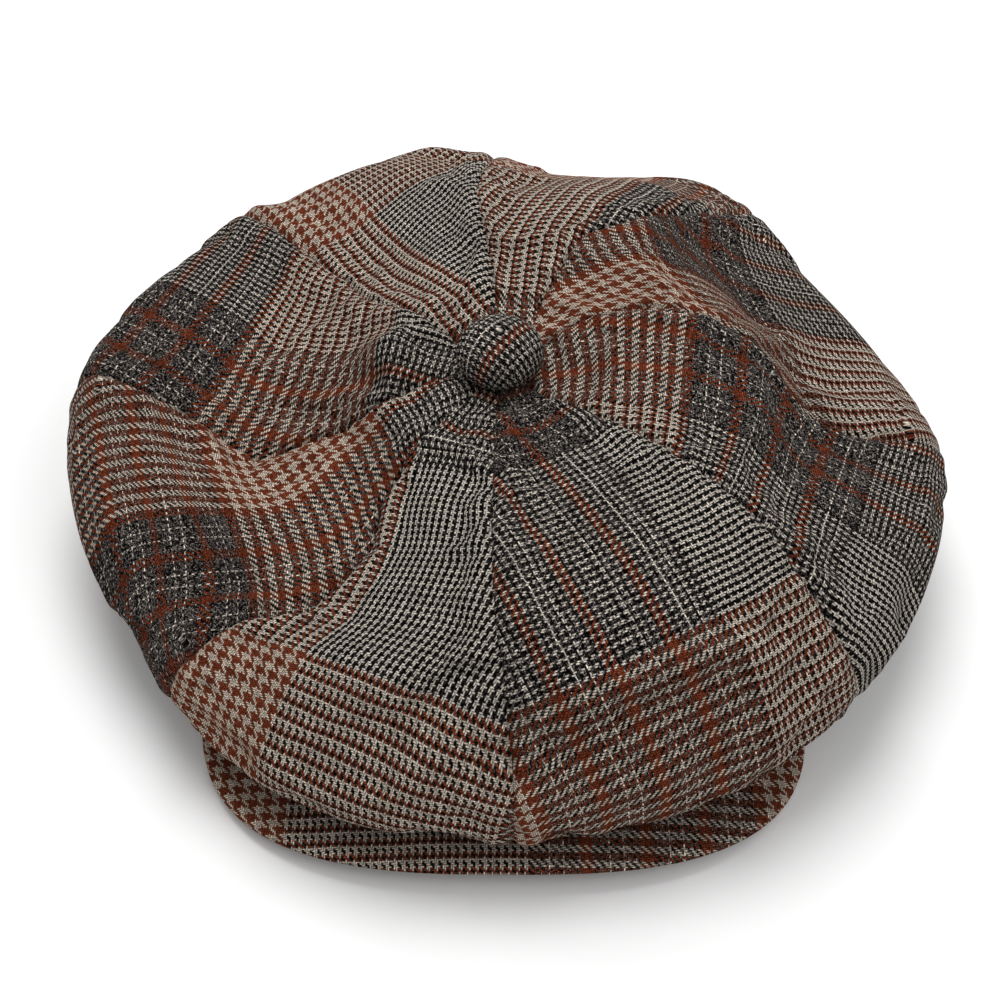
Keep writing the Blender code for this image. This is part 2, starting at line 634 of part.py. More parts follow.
def build_anchor(thread, plastic):
    """Thread ring round the shank and the washer inside the crown."""
    angles = [math.radians(degrees) for degrees in range(0, 360, 45)]
    section = [(THREAD_RING_RADIUS + THREAD_RADIUS * math.cos(angle),
                THREAD_HEIGHT + THREAD_RADIUS * math.sin(angle)) for angle in angles]
    turned("shank_thread", section, THREAD_SEGMENTS, thread)
    turned("anchor_washer", flat_ring(WASHER_HOLE, WASHER_RADIUS, WASHER_BOTTOM, WASHER_TOP),
           WASHER_SEGMENTS, plastic)


# ------------------------------------------------------------ build
for old in list(bpy.data.objects):
    bpy.data.objects.remove(old, do_unlink=True)

build_crown(
    first_tweed=material("tweed_rust", colour=(0.24, 0.13, 0.10), roughness=0.9),
    second_tweed=material("tweed_grey", colour=(0.16, 0.13, 0.12), roughness=0.9))
build_lining(material("lining_satin", colour=(0.035, 0.032, 0.035), roughness=0.45))
build_band(
    sweat=material("sweatband_cotton", colour=(0.05, 0.045, 0.045), roughness=0.85),
    buckram=material("buckram", colour=(0.62, 0.58, 0.48), roughness=0.85),
    elastic=material("elastic_webbing", colour=(0.55, 0.54, 0.52), roughness=0.8),
    tape=material("joint_tape", colour=(0.03, 0.03, 0.03), roughness=0.8),
    tweed=material("tweed_band", colour=(0.14, 0.11, 0.10), roughness=0.9))
build_visor(
    board=material("visor_board_plastic", colour=(0.75, 0.75, 0.72), roughness=0.5),
    tweed=material("tweed_visor", colour=(0.19, 0.12, 0.10), roughness=0.9))
build_button(
    tweed=material("tweed_button", colour=(0.13, 0.11, 0.10), roughness=0.9),
    steel=material("button_steel", colour=(0.55, 0.55, 0.56), roughness=0.35, metallic=1.0))
build_anchor(
    thread=material("thread", colour=(0.04, 0.035, 0.03), roughness=0.7),
    plastic=material("washer_plastic", colour=(0.10, 0.10, 0.10), roughness=0.5))
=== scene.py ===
"""Newsboy cap: eight tweed gores with sewn seams, a lining, a band, a covered visor and a button.

The form functions work in millimetres from the axis of the head opening: +Z is up, the visor
points to -Y (the front) and the wearer's left is +X. place() moves points into the CAD frame.
"""
import json
import math

import bmesh
import bpy
import numpy as np
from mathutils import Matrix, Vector

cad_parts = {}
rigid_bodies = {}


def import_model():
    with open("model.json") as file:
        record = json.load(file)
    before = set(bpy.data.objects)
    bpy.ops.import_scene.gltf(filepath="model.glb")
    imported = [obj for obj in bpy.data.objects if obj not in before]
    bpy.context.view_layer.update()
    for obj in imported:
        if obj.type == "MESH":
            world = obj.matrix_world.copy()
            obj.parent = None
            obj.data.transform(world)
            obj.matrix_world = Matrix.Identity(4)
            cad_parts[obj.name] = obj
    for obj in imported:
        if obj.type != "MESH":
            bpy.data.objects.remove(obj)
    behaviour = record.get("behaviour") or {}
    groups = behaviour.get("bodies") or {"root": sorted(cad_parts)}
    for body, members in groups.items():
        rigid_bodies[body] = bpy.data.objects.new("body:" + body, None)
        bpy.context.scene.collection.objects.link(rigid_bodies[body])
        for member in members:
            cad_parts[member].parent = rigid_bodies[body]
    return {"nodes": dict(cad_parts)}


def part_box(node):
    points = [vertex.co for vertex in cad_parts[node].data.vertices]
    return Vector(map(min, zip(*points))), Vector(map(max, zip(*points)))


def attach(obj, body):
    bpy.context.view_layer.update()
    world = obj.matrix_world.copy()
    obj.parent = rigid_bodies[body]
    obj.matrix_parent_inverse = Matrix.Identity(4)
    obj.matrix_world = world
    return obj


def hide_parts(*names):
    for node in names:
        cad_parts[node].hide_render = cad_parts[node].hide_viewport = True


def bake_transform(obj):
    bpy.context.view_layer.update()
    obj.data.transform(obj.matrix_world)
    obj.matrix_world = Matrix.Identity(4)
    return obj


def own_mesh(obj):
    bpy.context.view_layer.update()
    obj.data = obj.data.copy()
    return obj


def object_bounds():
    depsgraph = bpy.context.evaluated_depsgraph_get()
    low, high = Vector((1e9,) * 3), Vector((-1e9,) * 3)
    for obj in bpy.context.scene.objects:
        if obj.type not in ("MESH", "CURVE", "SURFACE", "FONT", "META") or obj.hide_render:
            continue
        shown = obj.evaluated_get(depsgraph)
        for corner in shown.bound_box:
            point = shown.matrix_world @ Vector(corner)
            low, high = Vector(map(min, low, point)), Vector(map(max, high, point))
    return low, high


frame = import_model()
CAD_LOW, CAD_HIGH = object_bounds()
nodes = frame["nodes"]
scene = bpy.context.scene

MM = 0.001
band_low, band_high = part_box("head_band")
AXIS_X = (band_low.x + band_high.x) / 2
AXIS_Y = (band_low.y + band_high.y) / 2

# ------------------------------------------------------------ head opening
HEAD_HALF_WIDTH = 84.5        # inside the sweatband
HEAD_HALF_DEPTH = 100.0
SWEATBAND_THICKNESS = 0.9
SWEATBAND_HEIGHT = 27.0
STIFFENER_THICKNESS = 0.7
STIFFENER_HEIGHT = 26.5
BAND_THICKNESS = 1.5
BAND_HEIGHT = 32.0            # the crown is sewn to the band at this height
TAPE_BOTTOM = 27.6
TAPE_OVERLAP = 0.4            # the tape reaches this far inside the stiffener's inner face
LAYER_GAP = 0.3
ELASTIC_HALF_ANGLE = 33.0     # the stiffener is left out here, at the back
ELASTIC_END_GAP = 0.5         # degrees between elastic and stiffener
ELASTIC_BOTTOM = 6.0
ELASTIC_TOP = 25.0

# Faces of the band's layers, outward from the head opening
STIFFENER_INSIDE = SWEATBAND_THICKNESS + LAYER_GAP
STIFFENER_OUTSIDE = STIFFENER_INSIDE + STIFFENER_THICKNESS
BAND_INSIDE = STIFFENER_OUTSIDE + LAYER_GAP
BAND_OUTSIDE = BAND_INSIDE + BAND_THICKNESS

# ------------------------------------------------------------ crown form
# Tables of seams start at the front and go anticlockwise seen from above: front, front-left,
# left, back-left, back, back-right, right, front-right. Gore k lies between seams k and k + 1.
GORE_NAMES = ("front_left", "left_front", "left_back", "back_left",
              "back_right", "right_back", "right_front", "front_right")
FIRST_BEARING = -90.0
GORE_ANGLE = 45.0

STATION = (0.0, 0.12, 0.25, 0.40, 0.55, 0.70, 0.82, 0.92)   # fractions of the rim radius
RIM_START = STATION[-1]
# Row per seam: degrees it strays round from its bearing, at each station and at the rim
SEAM_DRIFT = (
    (-3, -3, -3, -2.5, -2, -1, 0.5, 1.5, 3),
    (5, 5, 5, 5, 4, 2.5, 1, 0.5, 2),
    (40, 38, 28, 18, 9, -3, -5, -5, -4),
    (10, 14, 19, 18, 8, 2, 1, 1, 2),
    (3, 3, 4, 5, 6, 4, 2, 1, 0),
    (5, 5, 5, 5, 0, 0, 0, 0, 0),
    (12, 12, 13, 11, 13, 4, 0, -3, -4),
    (8, 7, 5, 8, 14, 11, 2, 0, 1),
)
# Row per seam: its height at each station
SEAM_HEIGHT = (
    (72, 74, 78, 81, 83, 79, 66, 46),
    (72, 74, 79, 82, 83, 80, 72, 60),
    (72, 74, 82, 84, 76, 54, 51, 51),
    (72, 74, 78, 84, 86, 80, 70, 62),
    (72, 74, 80, 82, 83, 78, 69, 60),
    (72, 74, 77, 70, 62, 62, 63, 61),
    (72, 73, 67, 51, 48.5, 57, 63, 63.5),
    (72, 73, 71, 59, 54, 47, 44, 42),
)
# Per seam
RIM_RADIUS = (153, 157, 158, 151, 150, 151, 154, 150)
RIM_HEIGHT = (25, 37, 42, 46, 46, 46, 48, 31)
UNDER_DROP = (7, 11, 17, 19, 20, 19, 17, 11)   # how far the cloth hangs below the rim
# Per gore
GORE_BULGE = (2, -1, -9, -1, 2, -3, -3, 1)
GORE_SKEW = (0, 0, 1.5, 6, 3, 0, 1, 0)          # the bulge leans to a gore's first seam
# How a gore climbs from its first seam to its second: below 1 is steep at that seam
GORE_EASE = ((1, 1), (1, 1), (1, 1), (1, 1), (0.9, 1.6), (1, 1), (0.8, 1), (0.3, 0.9))
# Row per gore: how far its middle stands above its seams at each station
GORE_PUFF = (
    (0, 0.5, 2, 3, 3, 3, 4, 4),
    (0, 0.5, 2, 3, 3, 4, 5, 5),
    (0, 0.5, 2, 3, 3, 4, 3, 2),
    (0, 0.5, 2, 3, 3, 3, 2, 1),
    (0, 0.5, 2, 3, 3, 4, 5, 5),
    (0, 0.5, 2, 3, 3, 4, 3, 3),
    (0, 0.5, 3, 6, 9, 9, 6, 5),
    (0, 0.5, 2, 3, 3, 4, 5, 5),
)
# Local swells: gore, place across, station, spread across, spread along, height
SWELLS = ((5, 0.55, 0.27, 0.25, 0.09, 8.0),)
CROWN_HOLE = 4.6              # radius left open round the button shank
CROWN_CLOTH = 1.35            # thickness of the gores' cloth
CROWN_SEWN_CLOTH = 1.0        # the same at the band seam
SEAM_GAP = 0.05               # each gore's edge is drawn back this far from the seam line
LINING_DROP = 7.0             # lining below the crown's outer face
LINING_INSET = 9.0            # lining rim inside the crown rim
LINING_START = 8.0
LINING_END = RIM_START - 0.04     # station where the lining turns down
LINING_CLOTH = 0.6

# ------------------------------------------------------------ visor
VISOR_HALF_WIDTH = 102.0
VISOR_CENTRE_X = 2.0
VISOR_CENTRE_Y = -90.0
VISOR_REACH = 67.0            # from VISOR_CENTRE_Y to the front edge
VISOR_POWER = 2.6             # of the superellipse outline
VISOR_SIDE_SHARE = 0.86       # share of each half's sweep on the outline; the rest is the tip
VISOR_TIP_GAP = 5.0           # tip outward of the visor's inner edge
VISOR_SEAM_HALF_ANGLE = 50.0  # how far round the band the visor is sewn
VISOR_ARCH = 10.0             # middle above corners
VISOR_ARCH_HALF_WIDTH = 104.0
VISOR_CORNER_HEIGHT = 2.8     # middle of the layers at the corners
VISOR_NOSE_DROP = 2.5
NOSE_DROP_START, NOSE_DROP_LENGTH = 100.0, 57.0     # forward of the axis
BOARD_THICKNESS = 1.8
VISOR_COVER_THICKNESS = 0.9
VISOR_BAND_GAP = 0.6
COVER_INSIDE = BOARD_THICKNESS / 2 + LAYER_GAP      # a cover's inner face from mid-board
COVER_OUTSIDE = COVER_INSIDE + VISOR_COVER_THICKNESS
BAND_ARCH = VISOR_ARCH + 1.0      # how far the band's lower edge rises over the visor
BAND_ARCH_HALF_ANGLE = VISOR_SEAM_HALF_ANGLE + 14.0

# ------------------------------------------------------------ button
BUTTON_RADIUS = 15.0
BUTTON_UNDER_RADIUS = 10.0
BUTTON_TOP = 91.5
BUTTON_EQUATOR = 80.5
BUTTON_BOTTOM = 75.2
BUTTON_OPEN_ANGLE = 22.0      # degrees left open underneath
BUTTON_CLOTH = 0.85
BUTTON_FOLDS = 15
COIL_RADIUS = 2.9             # shank thread
COIL_HEIGHT = 73.6

# ------------------------------------------------------------ lay of the cloth
# Each lay: angle of the cloth in degrees, place in the pattern (two, mm) and, for gores, stretch
GORE_LAY = (
    (6.0, 131.0, 87.5, 1.00),
    (274.0, 210.3, 115.4, 1.00),
    (350.0, 45.5, -17.0, 1.00),
    (272.0, 104.0, 43.0, 0.95),
    (12.0, 14.0, 113.0, 0.95),
    (272.0, 168.0, 130.0, 1.00),
    (4.0, 70.3, 167.0, 1.00),
    (267.0, 86.0, 203.0, 1.00),
)
# Cloth taken up in a fold: gore, where it starts along the gore, its length, cloth it holds
TAKEN_UP = ((2, 80.0, 30.0, 34.0), (6, 112.0, 16.0, 8.0), (6, 142.0, 16.0, 7.0))
BIAS = {6: -0.31}             # gore: slope its cloth is pulled askew by
VISOR_LAY = (270.0, 114.0, 146.0)
BAND_LAY = (0.0, 20.0, 150.0)
BUTTON_LAY = (220.0, 85.3, 176.0)

# ------------------------------------------------------------ tweed
YARN = 0.63                   # yarn pitch, mm
FLECK = 0.46                  # size of the flecks of spun fibre, mm
HOUNDSTOOTH_YARNS, OVERCHECK_YARNS, FINE_CHECK_YARNS = 96, 120, 124     # zones of the repeat
REPEAT_YARNS = HOUNDSTOOTH_YARNS + OVERCHECK_YARNS + FINE_CHECK_YARNS
FINE_CHECK_START = HOUNDSTOOTH_YARNS + OVERCHECK_YARNS
HOUNDSTOOTH_PERIOD, FINE_CHECK_PERIOD = 8, 4
OVERCHECK_PERIOD = 30         # yarns from one rust line to the next
COLOUR_CHANGE = 0.47          # where two-colour zones change, just under half a period
BLACK = (0.0035, 0.0028, 0.0026)      # dark fibre of the mixed charcoal yarn
GREY = (0.380, 0.340, 0.317)          # its grey fibre
BEIGE = (0.655, 0.568, 0.480)
WHITE = (0.633, 0.586, 0.522)
RUST = (0.259, 0.0765, 0.0383)
DASH = (0.740, 0.682, 0.602)
# Overcheck stripes: first yarn, colour, share of charcoal yarn
OVERCHECK = ((0, RUST, 0.0), (6, BLACK, 1.0), (14, DASH, 0.0), (15, BLACK, 1.0),
             (21, DASH, 0.0), (22, BLACK, 1.0))

# ------------------------------------------------------------ light and camera
HORIZON_LEVEL, ZENITH_LEVEL = 0.34, 0.78      # soft sky, brighter overhead
BACKDROP_LEVEL = 0.97                         # sky as the camera sees it
LAMPS = (      # power in watts, width in metres
    dict(name="key_light", place=(-0.05, 0.60, 1.55), aim=(0.0, 0.0, 0.05), power=15.5, width=1.0),
    dict(name="fill_light", place=(0.9, -0.7, 1.3), aim=(0.0, 0.0, 0.05), power=4.5, width=1.0),
)
CAMERA_PLACE = (AXIS_X, AXIS_Y - 0.342, 0.410)
CAMERA_AIM = (AXIS_X, AXIS_Y - 0.040, 0.050)
CAMERA_LENS = 49.716
CAMERA_SENSOR = 36.0
FLOOR_HALF_SIZE = 8.0


# ------------------------------------------------------------ curve tools
def bell(distance, spread):
    return np.exp(-(distance / spread) ** 2)


def ramp(value, start, length):
    """Straight rise from 0 at start to 1 a length further on."""
    return np.clip((value - start) / length, 0, 1)


def unit(vectors):
    return vectors / np.maximum(np.linalg.norm(vectors, axis=-1, keepdims=True), 1e-9)


def monotone_curve(stations, values, where):
    """Monotone cubic through the values, whose last axis runs along the stations."""
    stations = np.asarray(stations, float)
    values = np.asarray(values, float)
    step = np.diff(stations)
    rise = np.diff(values, axis=-1) / step
    before, after = rise[..., :-1], rise[..., 1:]
    same_way = before * after > 0
    weight_before = 2 * step[1:] + step[:-1]
    weight_after = step[1:] + 2 * step[:-1]
    mean = (weight_before + weight_after) / (weight_before / np.where(same_way, before, 1.0)
                                             + weight_after / np.where(same_way, after, 1.0))
    slope = np.zeros_like(values)
    slope[..., 1:-1] = np.where(same_way, mean, 0.0)
    slope[..., 0] = rise[..., 0]
    slope[..., -1] = rise[..., -1]
    where = np.clip(where, stations[0], stations[-1])
    i = np.clip(np.searchsorted(stations, where, side="right") - 1, 0, len(stations) - 2)
    part = (where - stations[i]) / step[i]
    rest = 1 - part
    return (values[..., i] * (1 + 2 * part) * rest ** 2
            + slope[..., i] * step[i] * part * rest ** 2
            + values[..., i + 1] * part * part * (3 - 2 * part)
            + slope[..., i + 1] * step[i] * part * part * (part - 1))


def around(seam_values, gore, across):
    """Smooth closed curve through the eight seam values, read across one gore."""
    before, first, second, after = (float(seam_values[(gore + i) % 8]) for i in (-1, 0, 1, 2))
    return 0.5 * (2 * first + (second - before) * across
                  + (2 * before - 5 * first + 4 * second - after) * across ** 2
                  + (3 * first - before - 3 * second + after) * across ** 3)


def bezier(start, start_handle, end_handle, end, count):
    """Radius and height at count even steps along a cubic, leaving out its start."""
    part = np.linspace(0, 1, count + 1)[1:, None]
    rest = 1 - part
    weights = (rest ** 3, 3 * rest * rest * part, 3 * rest * part * part, part ** 3)
    points = (start, start_handle, end_handle, end)
    return tuple(sum(weight * point[i] for weight, point in zip(weights, points))
                 for i in range(2))


def spline_matrix(count, where):
    """Catmull-Rom weights that read count even values at fractional positions."""
    i = np.clip(np.floor(where).astype(int), 0, count - 2)
    part = where - i
    matrix = np.zeros((len(where), count))
    basis = (-0.5 * part + part ** 2 - 0.5 * part ** 3,
             1 - 2.5 * part ** 2 + 1.5 * part ** 3,
             0.5 * part + 2 * part ** 2 - 1.5 * part ** 3,
             -0.5 * part ** 2 + 0.5 * part ** 3)
    for shift, weight in zip((-1, 0, 1, 2), basis):
        np.add.at(matrix, (np.arange(len(where)), np.clip(i + shift, 0, count - 1)), weight)
    return matrix


def waves(seed, lengths, sizes):
    """A repeatable wavy function of a distance in millimetres."""
    phases = np.random.RandomState(seed).uniform(0, 2 * np.pi, len(lengths))

    def height(distance):
        return sum(size * np.sin(2 * np.pi * distance / length + phase)
                   for length, size, phase in zip(lengths, sizes, phases))
    return height


def rolling(x, y, seed, lengths, sizes, stretch=1.0, lean=0.0):
    """Rolling unevenness over the plane, longer along its leaning axis."""
    random = np.random.RandomState(seed)
    level = x * math.cos(lean) + y * math.sin(lean)
    rising = (-x * math.sin(lean) + y * math.cos(lean)) / stretch
    total = 0
    for length, size in zip(lengths, sizes):
        for _ in range(3):
            heading = random.uniform(0, np.pi)
            phase = random.uniform(0, 6.28)
            bend_phase = random.uniform(0, 6.28)
            distance = level * math.cos(heading) + rising * math.sin(heading)
            bend = 1.3 * np.sin(rising * 2 * np.pi / (length * 2.3) + bend_phase)
            total = total + size / 3 * np.sin(distance * 2 * np.pi / length + phase + bend)
    return total


def band_radius(bearing, offset=0.0):
    """Radius of the head opening's ellipse, grown by an offset."""
    return 1.0 / np.sqrt((np.cos(bearing) / (HEAD_HALF_WIDTH + offset)) ** 2
                         + (np.sin(bearing) / (HEAD_HALF_DEPTH + offset)) ** 2)


# ------------------------------------------------------------ mesh tools
def place(points):
    """Millimetres from the head axis to metres in the CAD frame."""
    return np.asarray(points, float) * MM + np.array([AXIS_X, AXIS_Y, 0.0])


def add_mesh(name, points, faces, material, cloth_map, sharp=50.0):
    mesh = bpy.data.meshes.new(name)
    mesh.from_pydata(place(points).tolist(), [], faces)
    layer = mesh.uv_layers.new(name="weave")
    corners = np.zeros(len(mesh.loops), np.int32)
    mesh.loops.foreach_get("vertex_index", corners)
    layer.data.foreach_set("uv", np.asarray(cloth_map, np.float32)[corners].ravel())
    editable = bmesh.new()
    editable.from_mesh(mesh)
    bmesh.ops.recalc_face_normals(editable, faces=editable.faces)
    editable.to_mesh(mesh)
    editable.free()
    mesh.shade_smooth()
    mesh.set_sharp_from_angle(angle=math.radians(sharp))
    mesh.materials.append(material)
    piece = bpy.data.objects.new(name, mesh)
    scene.collection.objects.link(piece)
    return piece


def grid_faces(rows, columns, first=0, wrap=False, flip=False):
    i, j = np.meshgrid(np.arange(rows - 1), np.arange(columns if wrap else columns - 1),
                       indexing="ij")
    near = first + i * columns + j
    far = first + i * columns + (j + 1) % columns
    if flip:
        quads = [near, far, far + columns, near + columns]
    else:
        quads = [near, near + columns, far + columns, far]
    return np.stack(quads, -1).reshape(-1, 4).tolist()


def shell(name, outer, inner, material, cloth_map):
    """Closed solid between two equal grids."""
    rows, columns = outer.shape[:2]
    half = rows * columns
    faces = grid_faces(rows, columns) + grid_faces(rows, columns, half, flip=True)
    for near in range(columns - 1):
        faces.append([near, near + 1, near + 1 + half, near + half])
        last = (rows - 1) * columns + near
        faces.append([last, last + half, last + 1 + half, last + 1])
    for i in range(rows - 1):
        near, far = i * columns, (i + 1) * columns
        faces.append([near, near + half, far + half, far])
        near, far = near + columns - 1, far + columns - 1
        faces.append([near, far, far + half, near + half])
    points = np.concatenate([outer.reshape(-1, 3), inner.reshape(-1, 3)])
    return add_mesh(name, points, faces, material, np.tile(cloth_map.reshape(-1, 2), (2, 1)))


def arc_length(grid, axis):
    step = np.linalg.norm(np.diff(grid, axis=axis), axis=2)
    pad = [(0, 0), (0, 0)]
    pad[axis] = (1, 0)
    return np.pad(np.cumsum(step, axis=axis), pad)


def laid(across, along, angle=0.0, place_across=0.0, place_along=0.0, stretch=1.0):
    """Flat-cloth coordinates to pattern coordinates, mm."""
    turn = math.radians(angle)
    across, along = across * stretch, along * stretch
    return np.stack([across * math.cos(turn) - along * math.sin(turn) + place_across,
                     across * math.sin(turn) + along * math.cos(turn) + place_along], -1)


def stand_in(node):
    """Show a piece in place of a CAD node."""
    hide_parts(node)


# ------------------------------------------------------------ node helpers
class Graph:
    """Small helper for building node trees."""

    def __init__(self, tree):
        self.tree = tree

    def node(self, kind, **settings):
        node = self.tree.nodes.new(kind)
        for key, value in settings.items():
            setattr(node, key, value)
        return node

    def wire(self, source, target):
        """Link a socket, or set a number, vector or colour."""
        if isinstance(source, (int, float)):
            target.default_value = source
        elif isinstance(source, tuple):
            if len(source) == 3 and len(target.default_value) == 4:
                source = (*source, 1.0)
            target.default_value = source
        else:
            self.tree.links.new(source, target)

    def math(self, operation, *values, clamp=False):
        node = self.node("ShaderNodeMath", operation=operation, use_clamp=clamp)
        for value, socket in zip(values, node.inputs):
            self.wire(value, socket)
        return node.outputs[0]

    def times(self, first, second):
        return self.math("MULTIPLY", first, second)

    def plus(self, first, second):
        return self.math("ADD", first, second)

    def minus(self, first, second):
        return self.math("SUBTRACT", first, second)

    def wrapped(self, value, period):
        return self.math("FLOORED_MODULO", value, period)

    def phase(self, value, period):
        """Place within a period, 0 to 1."""
        return self.math("DIVIDE", self.wrapped(value, period), period)

    def remap(self, value, gain, base, clamp=False):
        return self.math("MULTIPLY_ADD", value, gain, base, clamp=clamp)

    def above(self, value, level, gain):
        """Mask of what rises above a level."""
        excess = self.math("SUBTRACT", value, level, clamp=True)
        return self.math("MULTIPLY", excess, gain, clamp=True)

    def hump(self, value):
        """Parabola from 0 through 1 at the middle to 0, for values 0 to 1."""
        return self.times(self.times(value, 4.0), self.minus(1.0, value))

    def vector(self, operation, *values):
        node = self.node("ShaderNodeVectorMath", operation=operation)
        for value, socket in zip(values, node.inputs):
            self.wire(value, socket)
        return node.outputs[0]

    def scaled(self, vector, factor):
        node = self.node("ShaderNodeVectorMath", operation="SCALE")
        self.wire(vector, node.inputs[0])
        self.wire(factor, node.inputs["Scale"])
        return node.outputs[0]

    def split(self, vector):
        node = self.node("ShaderNodeSeparateXYZ")
        self.wire(vector, node.inputs[0])
        return node.outputs

    def pair(self, x, y):
        node = self.node("ShaderNodeCombineXYZ")
        self.wire(x, node.inputs[0])
        self.wire(y, node.inputs[1])
        return node.outputs[0]

    def mix(self, share, first, second):
        node = self.node("ShaderNodeMix", data_type="FLOAT")
        for value, i in ((share, 0), (first, 2), (second, 3)):
            self.wire(value, node.inputs[i])
        return node.outputs[0]

    def blend(self, share, first, second):
        """Mix of two colours."""
        node = self.node("ShaderNodeMix", data_type="RGBA", blend_type="MIX")
        for value, i in ((share, 0), (first, 6), (second, 7)):
            self.wire(value, node.inputs[i])
        return node.outputs[2]

    def noise(self, vector, scale, detail=2.0, rough=0.5, colour=False, distortion=0.0):
        node = self.node("ShaderNodeTexNoise")
        self.wire(vector, node.inputs["Vector"])
        node.inputs["Scale"].default_value = scale
        node.inputs["Detail"].default_value = detail
        node.inputs["Roughness"].default_value = rough
        node.inputs["Distortion"].default_value = distortion
        return node.outputs["Color" if colour else "Fac"]

    def wander(self, vector, amount, **noise):
        """Noise offset about zero, amount wide."""
        offset = self.vector("SUBTRACT", self.noise(vector, colour=True, **noise), (0.5, 0.5, 0.5))
        return self.scaled(offset, amount)

    def cell_noise(self, vector):
        node = self.node("ShaderNodeTexWhiteNoise", noise_dimensions="2D")
        self.wire(vector, node.inputs["Vector"])
        return node.outputs["Value"]

    def stripes(self, value, stops):
        """Hard-edged bands: each stop is a position and a colour or a grey level."""
        node = self.node("ShaderNodeValToRGB")
        node.color_ramp.interpolation = "CONSTANT"
        while len(node.color_ramp.elements) < len(stops):
            node.color_ramp.elements.new(0.5)
        for element, (position, tone) in zip(node.color_ramp.elements, stops):
            element.position = position
            element.color = (*tone, 1.0) if isinstance(tone, tuple) else (tone, tone, tone, 1.0)
        self.wire(value, node.inputs[0])
        return node.outputs[0]

    def coordinates(self, kind="Object"):
        return self.node("ShaderNodeTexCoord").outputs[kind]

    def weave_map(self):
        """Millimetres of cloth."""
        return self.node("ShaderNodeUVMap", uv_map="weave").outputs[0]

    def surface(self, settings):
        """Set or wire inputs of the material's shader."""
        shader = self.tree.nodes["Principled BSDF"]
        for name, value in settings.items():
            self.wire(value, shader.inputs[name])

    def bump(self, height, strength, distance):
        node = self.node("ShaderNodeBump")
        node.inputs["Strength"].default_value = strength
        node.inputs["Distance"].default_value = distance
        self.wire(height, node.inputs["Height"])
        self.surface({"Normal": node.outputs[0]})


def new_material(name):
    material = bpy.data.materials.new(name)
    material.use_nodes = True
    return material, Graph(material.node_tree)


